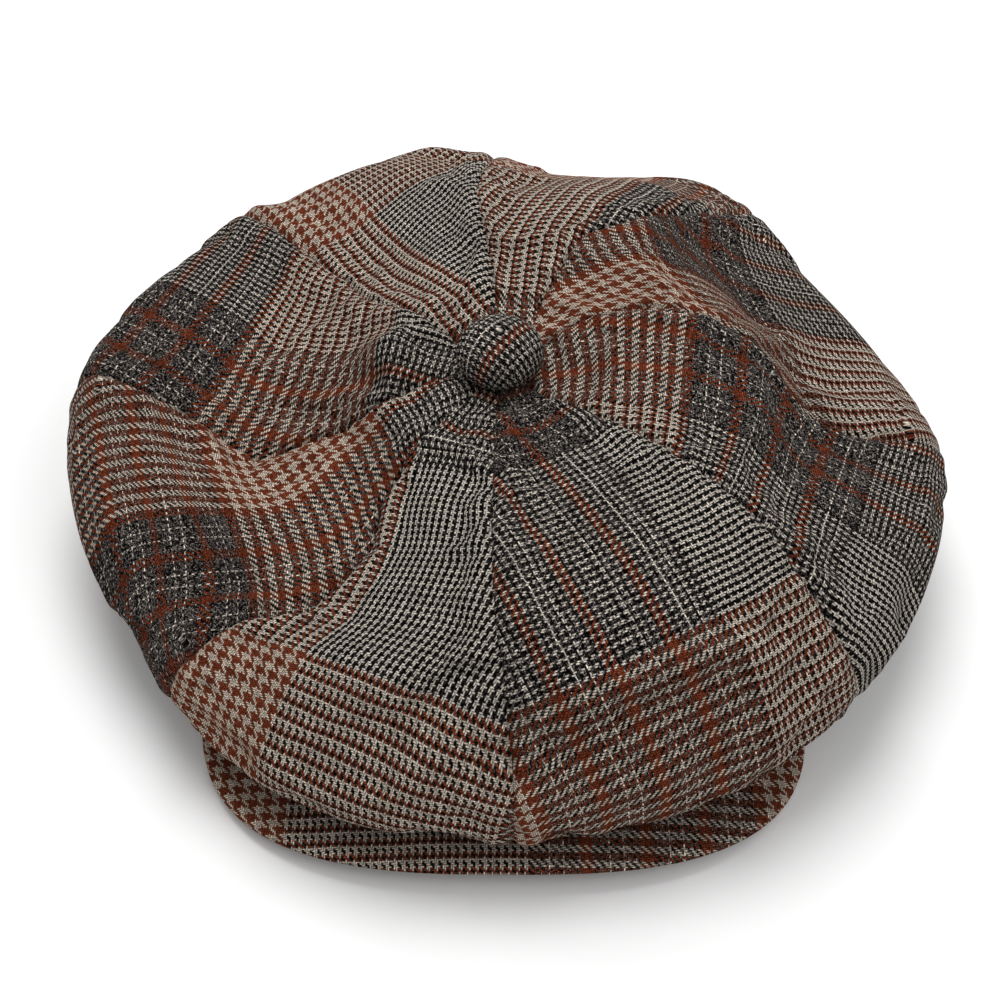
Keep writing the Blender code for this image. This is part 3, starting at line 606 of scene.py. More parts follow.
# ------------------------------------------------------------ materials
def weave_group():
    """Tweed: 2/2 twill of coloured yarns. Pattern coordinates come in millimetres."""
    tree = bpy.data.node_groups.new("tweed_weave", "ShaderNodeTree")
    for name, way, kind in (("Vector", "INPUT", "Vector"), ("Color", "OUTPUT", "Color"),
                            ("Height", "OUTPUT", "Float"), ("Fuzz", "OUTPUT", "Float")):
        tree.interface.new_socket(name, in_out=way, socket_type="NodeSocket" + kind)
    graph = Graph(tree)
    cloth = graph.node("NodeGroupInput").outputs[0]
    group_end = graph.node("NodeGroupOutput")

    # the cloth is never dead straight: a slow drift and a small waver of each yarn
    drift = graph.wander(cloth, amount=0.9, scale=0.035, detail=1.0)
    waver = graph.wander(cloth, amount=0.30, scale=0.9, detail=2.0, rough=0.6)
    uneven = graph.vector("ADD", graph.vector("ADD", cloth, drift), waver)
    x, y, _ = graph.split(graph.scaled(uneven, 1.0 / YARN))
    column, row = graph.math("FLOOR", x), graph.math("FLOOR", y)
    in_column, in_row = graph.minus(x, column), graph.minus(y, row)
    twill = graph.wrapped(graph.plus(column, row), 4.0)
    warp_up = graph.math("LESS_THAN", twill, 1.5)

    # colour of the yarn that shows, by its place in the repeat
    yarn = graph.mix(warp_up, row, column)
    in_repeat = graph.wrapped(graph.plus(yarn, 0.01), REPEAT_YARNS)
    past_houndstooth = graph.math("GREATER_THAN", in_repeat, HOUNDSTOOTH_YARNS - 0.5)
    in_fine_check = graph.math("GREATER_THAN", in_repeat, FINE_CHECK_START - 0.5)
    houndstooth = graph.phase(in_repeat, HOUNDSTOOTH_PERIOD)
    overcheck = graph.phase(graph.minus(in_repeat, HOUNDSTOOTH_YARNS), OVERCHECK_PERIOD)
    fine_check = graph.phase(graph.minus(in_repeat, FINE_CHECK_START), FINE_CHECK_PERIOD)
    # stripes start a little early, so that rounding never misses a yarn
    stops = [(max(0.0, (first - 0.3) / OVERCHECK_PERIOD), colour, charcoal)
             for first, colour, charcoal in OVERCHECK]
    houndstooth_colour = graph.stripes(houndstooth, ((0.0, RUST), (COLOUR_CHANGE, BEIGE)))
    overcheck_colour = graph.stripes(overcheck, [(stop[0], stop[1]) for stop in stops])
    fine_check_colour = graph.stripes(fine_check, ((0.0, BLACK), (COLOUR_CHANGE, WHITE)))
    colour = graph.blend(past_houndstooth, houndstooth_colour, overcheck_colour)
    colour = graph.blend(in_fine_check, colour, fine_check_colour)

    # each yarn has its own shade, and each float its own; slubs and fibres vary both
    yarn_shade = graph.cell_noise(graph.pair(yarn, graph.times(warp_up, 37.0)))
    float_shade = graph.cell_noise(graph.pair(column, row))
    slub = graph.noise(cloth, scale=0.11)
    fibre = graph.noise(graph.vector("MULTIPLY", cloth, (1.0, 1.0, 1.0)),
                        scale=5.5, detail=3.0, rough=0.7)
    shade = graph.remap(yarn_shade, gain=0.24, base=0.88)
    shade = graph.times(shade, graph.remap(float_shade, gain=0.22, base=0.89))
    shade = graph.times(shade, graph.remap(slub, gain=0.34, base=0.83))
    shade = graph.times(shade, graph.remap(fibre, gain=0.7, base=0.65))

    # round profile across the float that shows, and its arc along
    profile = graph.hump(graph.mix(warp_up, in_row, in_column))
    weft_part = graph.math("DIVIDE", graph.plus(graph.minus(twill, 2.0), in_column), 2.0)
    warp_part = graph.math("DIVIDE", graph.plus(twill, in_row), 2.0)
    arc = graph.math("MAXIMUM", graph.hump(graph.mix(warp_up, weft_part, warp_part)), 0.0)
    rounded = graph.math("SQRT", graph.math("MAXIMUM", profile, 0.0))
    height = graph.plus(graph.times(rounded, 0.7), graph.times(arc, 0.3))
    height = graph.plus(height, graph.times(fibre, 0.35))
    # painted shade: the colour darkens towards the gaps between yarns and where each float dips
    # under the next yarn
    painted_gap_shade = graph.times(graph.remap(profile, gain=1.02, base=0.05),
                       graph.remap(arc, gain=0.46, base=0.60))
    shade = graph.times(shade, painted_gap_shade)

    # grey fibre in the charcoal yarns, strongest in the overcheck; mottle in the others
    fleck = graph.cell_noise(graph.vector("FLOOR", graph.scaled(uneven, 1.0 / FLECK)))
    overcheck_dark = graph.stripes(overcheck, [(stop[0], stop[2]) for stop in stops])
    fine_check_dark = graph.stripes(fine_check, ((0.0, 0.22), (COLOUR_CHANGE, 0.0)))
    in_overcheck = graph.minus(past_houndstooth, in_fine_check)
    dark = graph.plus(graph.times(overcheck_dark, in_overcheck),
                      graph.times(fine_check_dark, in_fine_check))
    colour = graph.blend(graph.times(dark, graph.math("POWER", fleck, 2.7)), colour, GREY)
    mottle = graph.mix(in_overcheck, graph.remap(fleck, gain=0.58, base=0.56),
                       graph.remap(fleck, gain=1.0, base=0.24))
    shade = graph.times(shade, graph.mix(dark, mottle, 1.0))
    for i, value in enumerate((graph.scaled(colour, shade), height, fibre)):
        graph.wire(value, group_end.inputs[i])
    return tree


WEAVE = weave_group()


def tweed(name, level=1.0):
    """Tweed cloth with cloudy tone and pale lint; level is its brightness, which the band and visor
    use as painted shade and the button as painted light.
    """
    material, graph = new_material(name)
    weave = graph.node("ShaderNodeGroup", node_tree=WEAVE)
    graph.wire(graph.weave_map(), weave.inputs[0])
    where = graph.coordinates()
    cloud = graph.noise(where, scale=26.0, detail=3.0, rough=0.55)
    tone = graph.remap(cloud, gain=0.26 * level, base=level * 0.87)
    colour = graph.scaled(weave.outputs["Color"], tone)
    lint = graph.above(graph.noise(where, scale=2600.0, rough=0.6), level=0.62, gain=1.2)
    graph.surface({
        "Base Color": graph.blend(lint, colour, (0.20, 0.175, 0.15)),
        "Roughness": graph.remap(weave.outputs["Fuzz"], gain=0.22, base=0.76),
        "Specular IOR Level": 0.012,
        "Sheen Weight": 0.008,
        "Sheen Roughness": 0.45,
        "Sheen Tint": (0.85, 0.75, 0.68),
    })
    graph.bump(weave.outputs["Height"], strength=0.55, distance=0.00016)
    return material


def ribbed(name, dark, light, pitch, rough, bump, stitches=None, sheen=0.1):
    """Plain or ribbed cloth. Pitch is across and along, mm; stitches may run in one row."""
    material, graph = new_material(name)
    cloth = graph.weave_map()
    uneven = graph.vector("ADD", cloth, graph.wander(cloth, amount=0.25, scale=0.6))
    across, along, _ = graph.split(uneven)
    x = graph.math("DIVIDE", across, pitch[0])
    y = graph.math("DIVIDE", along, pitch[1])
    column, row = graph.math("FLOOR", x), graph.math("FLOOR", y)
    over = graph.math("LESS_THAN", graph.wrapped(graph.plus(column, row), 2.0), 0.5)
    in_column, in_row = graph.minus(x, column), graph.minus(y, row)
    profile = graph.hump(graph.mix(over, in_row, in_column))
    fibre = graph.noise(uneven, scale=4.0, detail=3.0, rough=0.65)
    # painted shade and light: the colour runs from the dark tone in the gaps between yarns to the
    # light tone on their tops, with fibre noise on top
    painted_lightness = graph.remap(profile, gain=0.6, base=graph.times(fibre, 0.5), clamp=True)
    colour = graph.blend(painted_lightness, dark, light)
    cloud = graph.noise(cloth, scale=0.05, detail=3.0)
    colour = graph.scaled(colour, graph.remap(cloud, gain=0.5, base=0.75))
    height = graph.plus(profile, graph.times(fibre, 0.4))
    if stitches:
        off_row = graph.math("ABSOLUTE", graph.minus(along, stitches["height"]))
        in_line = graph.math("LESS_THAN", off_row, 0.28)
        count = graph.math("DIVIDE", across, stitches["pitch"])
        thread_up = graph.math("LESS_THAN", graph.wrapped(count, 1.0), 0.72)
        stitch = graph.times(in_line, thread_up)
        colour = graph.blend(stitch, colour, stitches["colour"])
        height = graph.plus(height, graph.times(stitch, 1.2))
    graph.surface({
        "Base Color": colour,
        "Roughness": graph.remap(fibre, gain=0.2, base=rough - 0.1),
        "Specular IOR Level": 0.25,
        "Sheen Weight": sheen,
    })
    graph.bump(height, strength=bump, distance=0.00018)
    return material


def satin(name, dark, light):
    """Lining satin: fine diagonal of the weave, creases, and a soft streaky shine painted into its
    colour as painted sheen.
    """
    material, graph = new_material(name)
    cloth = graph.weave_map()
    across, along, _ = graph.split(cloth)
    slant = graph.plus(across, graph.times(along, 0.6))
    diagonal = graph.math("SINE", graph.times(slant, 2 * math.pi / 0.34))
    sheen_streak = graph.noise(graph.vector("MULTIPLY", cloth, (1.2, 0.05, 1.0)),
                         scale=1.6, detail=3.0, rough=0.6)
    crease = graph.noise(graph.vector("MULTIPLY", cloth, (0.09, 0.035, 1.0)),
                         scale=1.0, detail=4.0, rough=0.55, distortion=0.6)
    # painted sheen: streaks stretched along the cloth are painted lighter, and the fine diagonal
    # lighter and darker in turn
    painted_lightness = graph.remap(sheen_streak, gain=0.7, base=graph.times(diagonal, 0.10), clamp=True)
    graph.surface({
        "Base Color": graph.blend(painted_lightness, dark, light),
        "Roughness": graph.remap(sheen_streak, gain=0.22, base=0.30),
        "Anisotropic": 0.6,
        "Sheen Weight": 0.15,
    })
    graph.bump(graph.plus(crease, graph.times(diagonal, 0.02)), strength=0.35, distance=0.0008)
    return material


def moulded(name, dark, light, rough):
    """Moulded plastic: faint flow marks and fine pitting."""
    material, graph = new_material(name)
    where = graph.coordinates()
    flow = graph.noise(graph.vector("MULTIPLY", where, (1.0, 3.0, 1.0)),
                       scale=60.0, detail=3.0, rough=0.6, distortion=0.8)
    pits = graph.noise(where, scale=3600.0, rough=0.6)
    colour = graph.blend(flow, dark, light)
    graph.surface({
        "Base Color": graph.scaled(colour, graph.remap(pits, gain=0.16, base=0.92)),
        "Roughness": graph.remap(flow, gain=0.22, base=rough - 0.1),
    })
    graph.bump(pits, strength=0.25, distance=0.0001)
    return material


def pressed_steel(name):
    """Plated pressed steel: drawing marks, dull spots and a little rust."""
    material, graph = new_material(name)
    where = graph.coordinates()
    brushed = graph.noise(graph.vector("MULTIPLY", where, (1.0, 1.0, 9.0)),
                          scale=900.0, detail=3.0, rough=0.6)
    spots = graph.noise(where, scale=240.0, detail=4.0, rough=0.6)
    rust = graph.above(spots, level=0.58, gain=2.5)
    colour = graph.blend(brushed, (0.44, 0.44, 0.45), (0.68, 0.68, 0.69))
    graph.surface({
        "Base Color": graph.blend(rust, colour, (0.30, 0.20, 0.14)),
        "Metallic": 1.0,
        "Roughness": graph.remap(spots, gain=0.4, base=0.16),
    })
    graph.bump(brushed, strength=0.15, distance=0.00008)
    return material


# ------------------------------------------------------------ crown and lining form
# Rows of a gore's grid over the top, round the rim and underneath
SETTLE_ROWS = (34, 7, 12)
SETTLE_COLUMNS = 18
CROWN_ROWS = (124, 24, 38)
LINING_ROWS = (66, 12, 16)


def seam_weighted(count, pull):
    """Fractions across a gore, closer together near its seams."""
    even = np.linspace(0, 1, count)
    return even - pull * np.sin(2 * np.pi * even) / (2 * np.pi)


CROWN_ACROSS = seam_weighted(83, pull=0.74)
LINING_ACROSS = seam_weighted(41, pull=0.6)


def rim_radius(gore, across):
    return (around(RIM_RADIUS, gore, across) + GORE_BULGE[gore] * np.sin(np.pi * across) ** 0.9
            + GORE_SKEW[gore] * np.sin(2 * np.pi * across))


def gore_top(gore, across, station):
    """Radius, bearing and height of a gore's outer face over the head."""
    across = across[None, :]
    second = (gore + 1) % 8
    drift = monotone_curve(STATION + (1.0,), SEAM_DRIFT, station)
    height = monotone_curve(STATION, SEAM_HEIGHT, station)
    first_bearing = FIRST_BEARING + GORE_ANGLE * gore
    bearing = np.radians((first_bearing + drift[gore])[:, None] * (1 - across)
                         + (first_bearing + GORE_ANGLE + drift[second])[:, None] * across)
    radius = station[:, None] * rim_radius(gore, across)
    climb = across ** GORE_EASE[gore][0]
    share = climb / (climb + (1 - across) ** GORE_EASE[gore][1])
    z = height[gore][:, None] * (1 - share) + height[second][:, None] * share
    puff = monotone_curve(STATION, GORE_PUFF[gore], station)
    z = z + puff[:, None] * np.sin(np.pi * across) ** 0.8
    for swollen, middle, middle_station, spread_across, spread_along, rise in SWELLS:
        if swollen == gore:
            z = z + (rise * bell(across - middle, spread_across)
                     * bell(station[:, None] - middle_station, spread_along)
                     * np.sin(np.pi * across) ** 0.5)
    return radius, bearing, z


def gore_points(bearing, *sections):
    """Points of the sections in turn; those past the top keep its last bearings."""
    radius = np.concatenate([section[0] for section in sections])
    z = np.concatenate([section[1] for section in sections])
    below = np.repeat(bearing[-1:], len(radius) - len(bearing), axis=0)
    bearing = np.concatenate([bearing, below])
    return np.stack([radius * np.cos(bearing), radius * np.sin(bearing), z], -1)


def crown_gore(gore, across, rows):
    """Grid of points of a gore, from the button to the band seam."""
    top_rows, rim_rows, under_rows = rows
    start = CROWN_HOLE / RIM_RADIUS[0]
    station = start + (RIM_START - start) * np.linspace(0, 1, top_rows) ** 0.9
    radius, bearing, z = gore_top(gore, across, station)
    # the rim leaves the top along its slope
    end_radius, _, end_z = gore_top(gore, across, np.array([RIM_START - 0.02, RIM_START]))
    slope = (end_z[1] - end_z[0]) / (end_radius[1] - end_radius[0])
    end_radius, end_z = end_radius[1:], end_z[1:]
    rim = rim_radius(gore, across[None, :])
    rim_z = around(RIM_HEIGHT, gore, across[None, :])
    lead = 0.55 * (rim - end_radius)
    rim_lead = 0.55 * np.maximum(end_z - rim_z, 2)
    rim_part = bezier((end_radius, end_z), (end_radius + lead, end_z + slope * lead),
                      (rim, rim_z + rim_lead), (rim, rim_z), rim_rows)
    band_edge = band_radius(bearing[-1:], BAND_OUTSIDE)
    hang = around(UNDER_DROP, gore, across[None, :])
    under_part = bezier((rim, rim_z), (rim, rim_z - hang), (rim - 16, rim_z - hang),
                        (band_edge - 0.4, BAND_HEIGHT + 0.4), under_rows)
    return gore_points(bearing, (radius, z), rim_part, under_part)


def lining_gore(gore, across, rows):
    """The lining follows the crown inside it and is drawn in at the rim."""
    top_rows, rim_rows, under_rows = rows
    start = LINING_START / RIM_RADIUS[0]
    station = start + (LINING_END - start) * np.linspace(0, 1, top_rows)
    radius, bearing, z = gore_top(gore, across, station)
    z = z - LINING_DROP
    end_radius, end_z = radius[-1:], z[-1:]
    rim = rim_radius(gore, across[None, :]) - LINING_INSET
    rim_z = np.minimum(around(RIM_HEIGHT, gore, across[None, :]) + 3.0, end_z - 2.0)
    lead = 0.6 * (rim - end_radius)
    rim_part = bezier((end_radius, end_z), (end_radius + lead, end_z - 0.5 * lead),
                      (rim, rim_z + 0.5 * (end_z - rim_z)), (rim, rim_z), rim_rows)
    band_edge = band_radius(bearing[-1:], STIFFENER_INSIDE)
    under_part = bezier((rim, rim_z), (rim, rim_z - 3), (rim - 14, rim_z + 0.5),
                        (band_edge, BAND_HEIGHT + 5.0), under_rows)
    return gore_points(bearing, (radius, z), rim_part, under_part)


def shared_normals(grids):
    """Outward normals of the gores, made equal along each seam.

    Grid rows run from the button out and columns anticlockwise."""
    normals = [unit(np.cross(np.gradient(grid, axis=0), np.gradient(grid, axis=1)))
               for grid in grids]
    for k in range(8):
        after = (k + 1) % 8
        both = unit(normals[k][:, -1] + normals[after][:, 0])
        normals[k][:, -1] = both
        normals[after][:, 0] = both
    return normals


def draw_back_edges(grid):
    """Open a hair's gap at both seams of a gore."""
    grid[:, 0] += SEAM_GAP * unit(grid[:, 1] - grid[:, 0])
    grid[:, -1] += SEAM_GAP * unit(grid[:, -2] - grid[:, -1])


def develop(grid, start):
    """Flat-cloth coordinates of a gore, mm: across from its middle, and along from start."""
    middle = grid.shape[1] // 2
    line = grid[:, middle]
    steps = np.linalg.norm(np.diff(line, axis=0), axis=1)
    along = np.concatenate([[0], np.cumsum(steps)]) + start
    across = arc_length(grid, 1)
    across = across - across[:, middle:middle + 1]
    radius = np.hypot(line[:, 0], line[:, 1])
    radius = np.convolve(np.pad(radius, 6, mode="edge"), np.ones(13) / 13, "valid")
    bend = np.gradient(radius) / np.maximum(np.gradient(along), 1e-6) / np.maximum(radius, 3)
    bend = np.clip(bend, -0.05, 0.2)[:, None]
    bent = np.abs(bend) > 1e-5
    divisor = np.where(bent, bend, 1.0)
    turn = np.clip(bend * across, -0.6, 0.6)
    sagitta = np.where(bent, (1 - np.cos(turn)) / divisor, 0.0)
    return np.where(bent, np.sin(turn) / divisor, across), along[:, None] - sagitta


def press(piece):
    """Hang a crown piece on the cap body and give it a mesh of its own."""
    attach(piece, "cap")
    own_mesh(piece)


# ------------------------------------------------------------ crown: cloth pass
SETTLE_LIMIT = 3.2             # mm, the most the cloth pass may move the crown
SETTLE_FRAMES = 24


def cloth_pass():
    """Let a slightly over-long crown settle between its seams; returns each point's move, mm."""
    across = np.linspace(0, 1, SETTLE_COLUMNS + 1)
    sheet = np.concatenate([crown_gore(k, across, SETTLE_ROWS)[:, :-1] for k in range(8)], axis=1)
    rows, columns = sheet.shape[:2]
    mesh = bpy.data.meshes.new("crown_relax")
    mesh.from_pydata((sheet.reshape(-1, 3) * MM).tolist(), [],
                     grid_faces(rows, columns, wrap=True))
    piece = bpy.data.objects.new("crown_relax", mesh)
    scene.collection.objects.link(piece)

    # held firmly at the button and the band, well at the seams and loosely between
    hold = piece.vertex_groups.new(name="hold")
    column = np.arange(columns) % SETTLE_COLUMNS
    from_seam = np.minimum(column, SETTLE_COLUMNS - column)
    for i in range(rows):
        for j in range(columns):
            weight = 0.10 + 0.55 * math.exp(-(from_seam[j] / 1.9) ** 2)
            if i < 2 or i > rows - 3:
                weight = 1.0
            hold.add([i * columns + j], weight, "REPLACE")

    settle = piece.modifiers.new("settle", "CLOTH")
    cloth = settle.settings
    cloth.quality = 7
    cloth.mass = 0.12
    cloth.tension_stiffness = 14
    cloth.compression_stiffness = 14
    cloth.shear_stiffness = 5
    cloth.bending_stiffness = 0.25
    cloth.vertex_group_mass = "hold"
    cloth.pin_stiffness = 1.0
    cloth.shrink_min = -0.024
    cloth.effector_weights.gravity = 0.4
    settle.collision_settings.use_collision = False
    settle.point_cache.frame_start, settle.point_cache.frame_end = 1, SETTLE_FRAMES
    scene.frame_start, scene.frame_end = 1, SETTLE_FRAMES
    for i in range(1, SETTLE_FRAMES + 1):
        scene.frame_set(i)

    settled = piece.evaluated_get(bpy.context.evaluated_depsgraph_get())
    points = np.zeros(rows * columns * 3, np.float32)
    settled.data.vertices.foreach_get("co", points)
    moved = points.reshape(rows, columns, 3) / MM - sheet
    distance = np.linalg.norm(moved, axis=2, keepdims=True)
    moved = moved * np.minimum(1.0, SETTLE_LIMIT / np.maximum(distance, 1e-6))
    bpy.data.objects.remove(piece, do_unlink=True)
    bpy.data.meshes.remove(mesh)
    scene.frame_set(1)
    return moved


def section_places(rows):
    """Row positions in a common measure: top 0-1, rim 1-2, underside 2-3."""
    top_rows, rim_rows, under_rows = rows
    return np.concatenate([np.linspace(0, 1, top_rows), 1 + np.linspace(0, 1, rim_rows + 1)[1:],
                           2 + np.linspace(0, 1, under_rows + 1)[1:]])


def refine(moved):
    """The coarse movement on each fine gore grid."""
    coarse = section_places(SETTLE_ROWS)
    places = np.interp(section_places(CROWN_ROWS), coarse, np.arange(len(coarse)))
    row_weights = spline_matrix(len(coarse), places)
    margin = 2      # columns borrowed from the neighbouring gores
    refined = []
    for k in range(8):
        first = k * SETTLE_COLUMNS
        taken = (np.arange(first - margin, first + SETTLE_COLUMNS + margin + 1)
                 % (8 * SETTLE_COLUMNS))
        column_weights = spline_matrix(len(taken), margin + CROWN_ACROSS * SETTLE_COLUMNS)
        refined.append(np.einsum("ab,bcd,ec->aed", row_weights, moved[:, taken], column_weights))
    return refined


# ------------------------------------------------------------ crown
SEAM_WAVES = [waves(40 + k, (6.3, 9.1, 13.7, 23.0), (0.06, 0.09, 0.12, 0.12)) for k in range(8)]
BAND_GATHER = waves(91, (7.3, 10.9, 16.1, 29.0), (0.28, 0.30, 0.26, 0.2))


def dressed_gore(gore, grid, normals):
    """Seam groove, puckers, soft creases and the gathers at the band."""
    along = arc_length(grid, 0)
    from_first = arc_length(grid, 1)
    from_second = from_first[:, -1:] - from_first
    lift = np.zeros(from_first.shape)
    for distance, seam, edge in ((from_first, gore, along[:, :1]),
                                 (from_second, (gore + 1) % 8, along[:, -1:])):
        lift -= 0.80 * bell(distance, 1.0) + 0.40 * bell(distance, 3.2)
        lift += 0.35 * bell(distance - 5.5, 3.5)
        calm = np.maximum(ramp(edge, 6.0, 14.0), 0.25)
        lift += SEAM_WAVES[seam](edge) * np.exp(-distance / 6.5) * calm
    flat_across, flat_along = develop(grid, CROWN_HOLE)
    free = 1 - bell(np.minimum(from_first, from_second), 9.0)
    creases = rolling(flat_across, flat_along, seed=11 + gore, lengths=(26.0, 41.0),
                      sizes=(0.45, 0.55), stretch=1.8, lean=0.3 + 0.7 * gore)
    lift += creases * free * ramp(flat_along, 8, 25)
    left = along[-1:, :] - along
    bearing = np.arctan2(grid[..., 1], grid[..., 0])
    round_band = band_radius(bearing, BAND_OUTSIDE) * bearing
    lift += BAND_GATHER(round_band) * np.exp(-left / 11.0) * ramp(left, 0, 3.0)
    return grid + normals * lift[..., None]


def crown_grids():
    """Grids, normals and flat-cloth coordinates of the gores."""
    grids = [crown_gore(k, CROWN_ACROSS, CROWN_ROWS) for k in range(8)]
    flats = [develop(grid, CROWN_HOLE) for grid in grids]
    grids = [grid + move for grid, move in zip(grids, refine(cloth_pass()))]
    normals = shared_normals(grids)
    # ease the normals into the shared ones over the last few columns so walls don't kink
    for normal in normals:
        for i, share in ((1, 0.75), (2, 0.5), (3, 0.25)):
            normal[:, i] = unit(normal[:, i] * (1 - share) + normal[:, 0] * share)
            normal[:, -1 - i] = unit(normal[:, -1 - i] * (1 - share) + normal[:, -1] * share)
    grids = [dressed_gore(k, grids[k], normals[k]) for k in range(8)]
    for k in range(8):      # both cloths meet in one seam line
        after = (k + 1) % 8
        seam_line = (grids[k][:, -1] + grids[after][:, 0]) / 2
        grids[k][:, -1] = seam_line
        grids[after][:, 0] = seam_line
    return grids, normals, flats


def build_crown():
    material = tweed("tweed_crown")
    for k, (grid, normals, (across, along)) in enumerate(zip(*crown_grids())):
        draw_back_edges(grid)
        thickness = np.full(grid.shape[:2], CROWN_CLOTH)
        thickness[-6:] = np.linspace(CROWN_CLOTH, CROWN_SEWN_CLOTH, 6)[:, None]
        for gore, start, length, held in TAKEN_UP:
            if gore == k:
                part = ramp(along, start, length)
                along = along + held * part * part * (3 - 2 * part)
        along = along + BIAS.get(k, 0.0) * across
        name = "crown_gore_" + GORE_NAMES[k]
        piece = shell(name + "_cloth", grid, grid - normals * thickness[..., None], material,
                      laid(across, along, *GORE_LAY[k]))
        stand_in(name)
        press(piece)


# ------------------------------------------------------------ lining
def build_lining():
    material = satin("lining_satin_cloth", dark=(0.020, 0.017, 0.018), light=(0.10, 0.088, 0.092))
    grids = [lining_gore(k, LINING_ACROSS, LINING_ROWS) for k in range(8)]
    seam_waves = [waves(70 + k, (8.0, 12.5, 19.0), (0.16, 0.2, 0.22)) for k in range(8)]
    for k, (grid, normals) in enumerate(zip(grids, shared_normals(grids))):
        along = arc_length(grid, 0)
        from_first = arc_length(grid, 1)
        from_second = from_first[:, -1:] - from_first
        flat_across, flat_along = develop(grid, LINING_START)
        lift = np.zeros(from_first.shape)
        for distance, seam, edge in ((from_first, k, along[:, :1]),
                                     (from_second, (k + 1) % 8, along[:, -1:])):
            lift += 0.55 * bell(distance, 1.2) + seam_waves[seam](edge) * np.exp(-distance / 7.0)
        free = 1 - bell(np.minimum(from_first, from_second), 8.0)
        creases = rolling(flat_across, flat_along, seed=31 + k, lengths=(17.0, 29.0),
                          sizes=(0.35, 0.5), stretch=2.4, lean=1.1 * k)
        lift += creases * free * ramp(flat_along, 10, 20)
        inset = 2.6 * ramp(along[-1:] - along, 0, 18.0) * ramp(flat_along, 8, 14)
        grid = grid - normals * (0.7 * lift + inset)[..., None]
        draw_back_edges(grid)
        name = "lining_gore_" + GORE_NAMES[k]
        piece = shell(name + "_satin", grid, grid - LINING_CLOTH * normals, material,
                      np.stack([flat_across, flat_along], -1))
        stand_in(name)
        press(piece)


# ------------------------------------------------------------ band assembly
def band_rise(bearing):
    """Rise of the band's lower edge where the visor is sewn on."""
    from_front = np.abs((np.degrees(bearing) + 90.0 + 180.0) % 360.0 - 180.0)
    return BAND_ARCH * np.cos(0.5 * np.pi * ramp(from_front, 0, BAND_ARCH_HALF_ANGLE)) ** 2


def strip_profile(half, rows):
    """Round the strip's section: offset outward, share of the height, rise."""
    quarter_turns = np.radians(np.linspace(-180, 0, 7))
    shares = np.linspace(0, 1, rows)[1:-1]
    profile = [(half * math.cos(turn), 0.0, half * (1 + math.sin(turn)))
               for turn in quarter_turns]
    profile += [(half, share, 0.0) for share in shares]
    profile += [(half * math.cos(turn), 1.0, -half * (1 - math.sin(turn)))
                for turn in np.radians(np.linspace(0, 180, 7))]
    profile += [(-half, share, 0.0) for share in shares[::-1]]
    return np.array(profile).T


def strip(name, material, inside, outside, bottom, top, wobble, rows=18, half_angle=None,
          centre=90.0, segments=360, over_visor=True, seed=3, lay=(0.0, 0.0, 0.0)):
    """An upright strip with rounded edges round the head, closed unless half_angle is given."""
    closed = half_angle is None
    if closed:
        bearing = np.radians(-90.0 + np.arange(segments) * 360.0 / segments)
    else:
        bearing = np.radians(centre + np.linspace(-half_angle, half_angle, segments))
    lower = (bottom + (band_rise(bearing) if over_visor else 0 * bearing))[:, None]
    offset, share, rise = strip_profile((outside - inside) / 2, rows)
    middle = band_radius(bearing, (inside + outside) / 2)
    steps = np.hypot(np.diff(middle * np.cos(bearing)), np.diff(middle * np.sin(bearing)))
    length = np.concatenate([[0], np.cumsum(steps)])
    ripple = waves(seed, (17.0, 31.0, 53.0), (0.4, 0.4, 0.4))(length) * wobble
    z = np.clip(lower + (top - lower) * share + rise, lower, top)
    radius = (middle[:, None] + offset
              + ripple[:, None] * np.sin(np.pi * np.clip(share, 0.02, 0.98)))
    points = np.stack([radius * np.cos(bearing)[:, None], radius * np.sin(bearing)[:, None], z], -1)
    count = len(offset)
    faces = []
    for i in range(segments if closed else segments - 1):
        near, far = i * count, ((i + 1) % segments) * count
        for k in range(count):
            after = (k + 1) % count
            faces.append([near + k, far + k, far + after, near + after])
    if not closed:
        faces.append(list(range(count)))
        faces.append([(segments - 1) * count + k for k in range(count)][::-1])
    cloth_map = laid(length[:, None], z, *lay)
    return add_mesh(name, points.reshape(-1, 3), faces, material, cloth_map.reshape(-1, 2),
                    sharp=70)


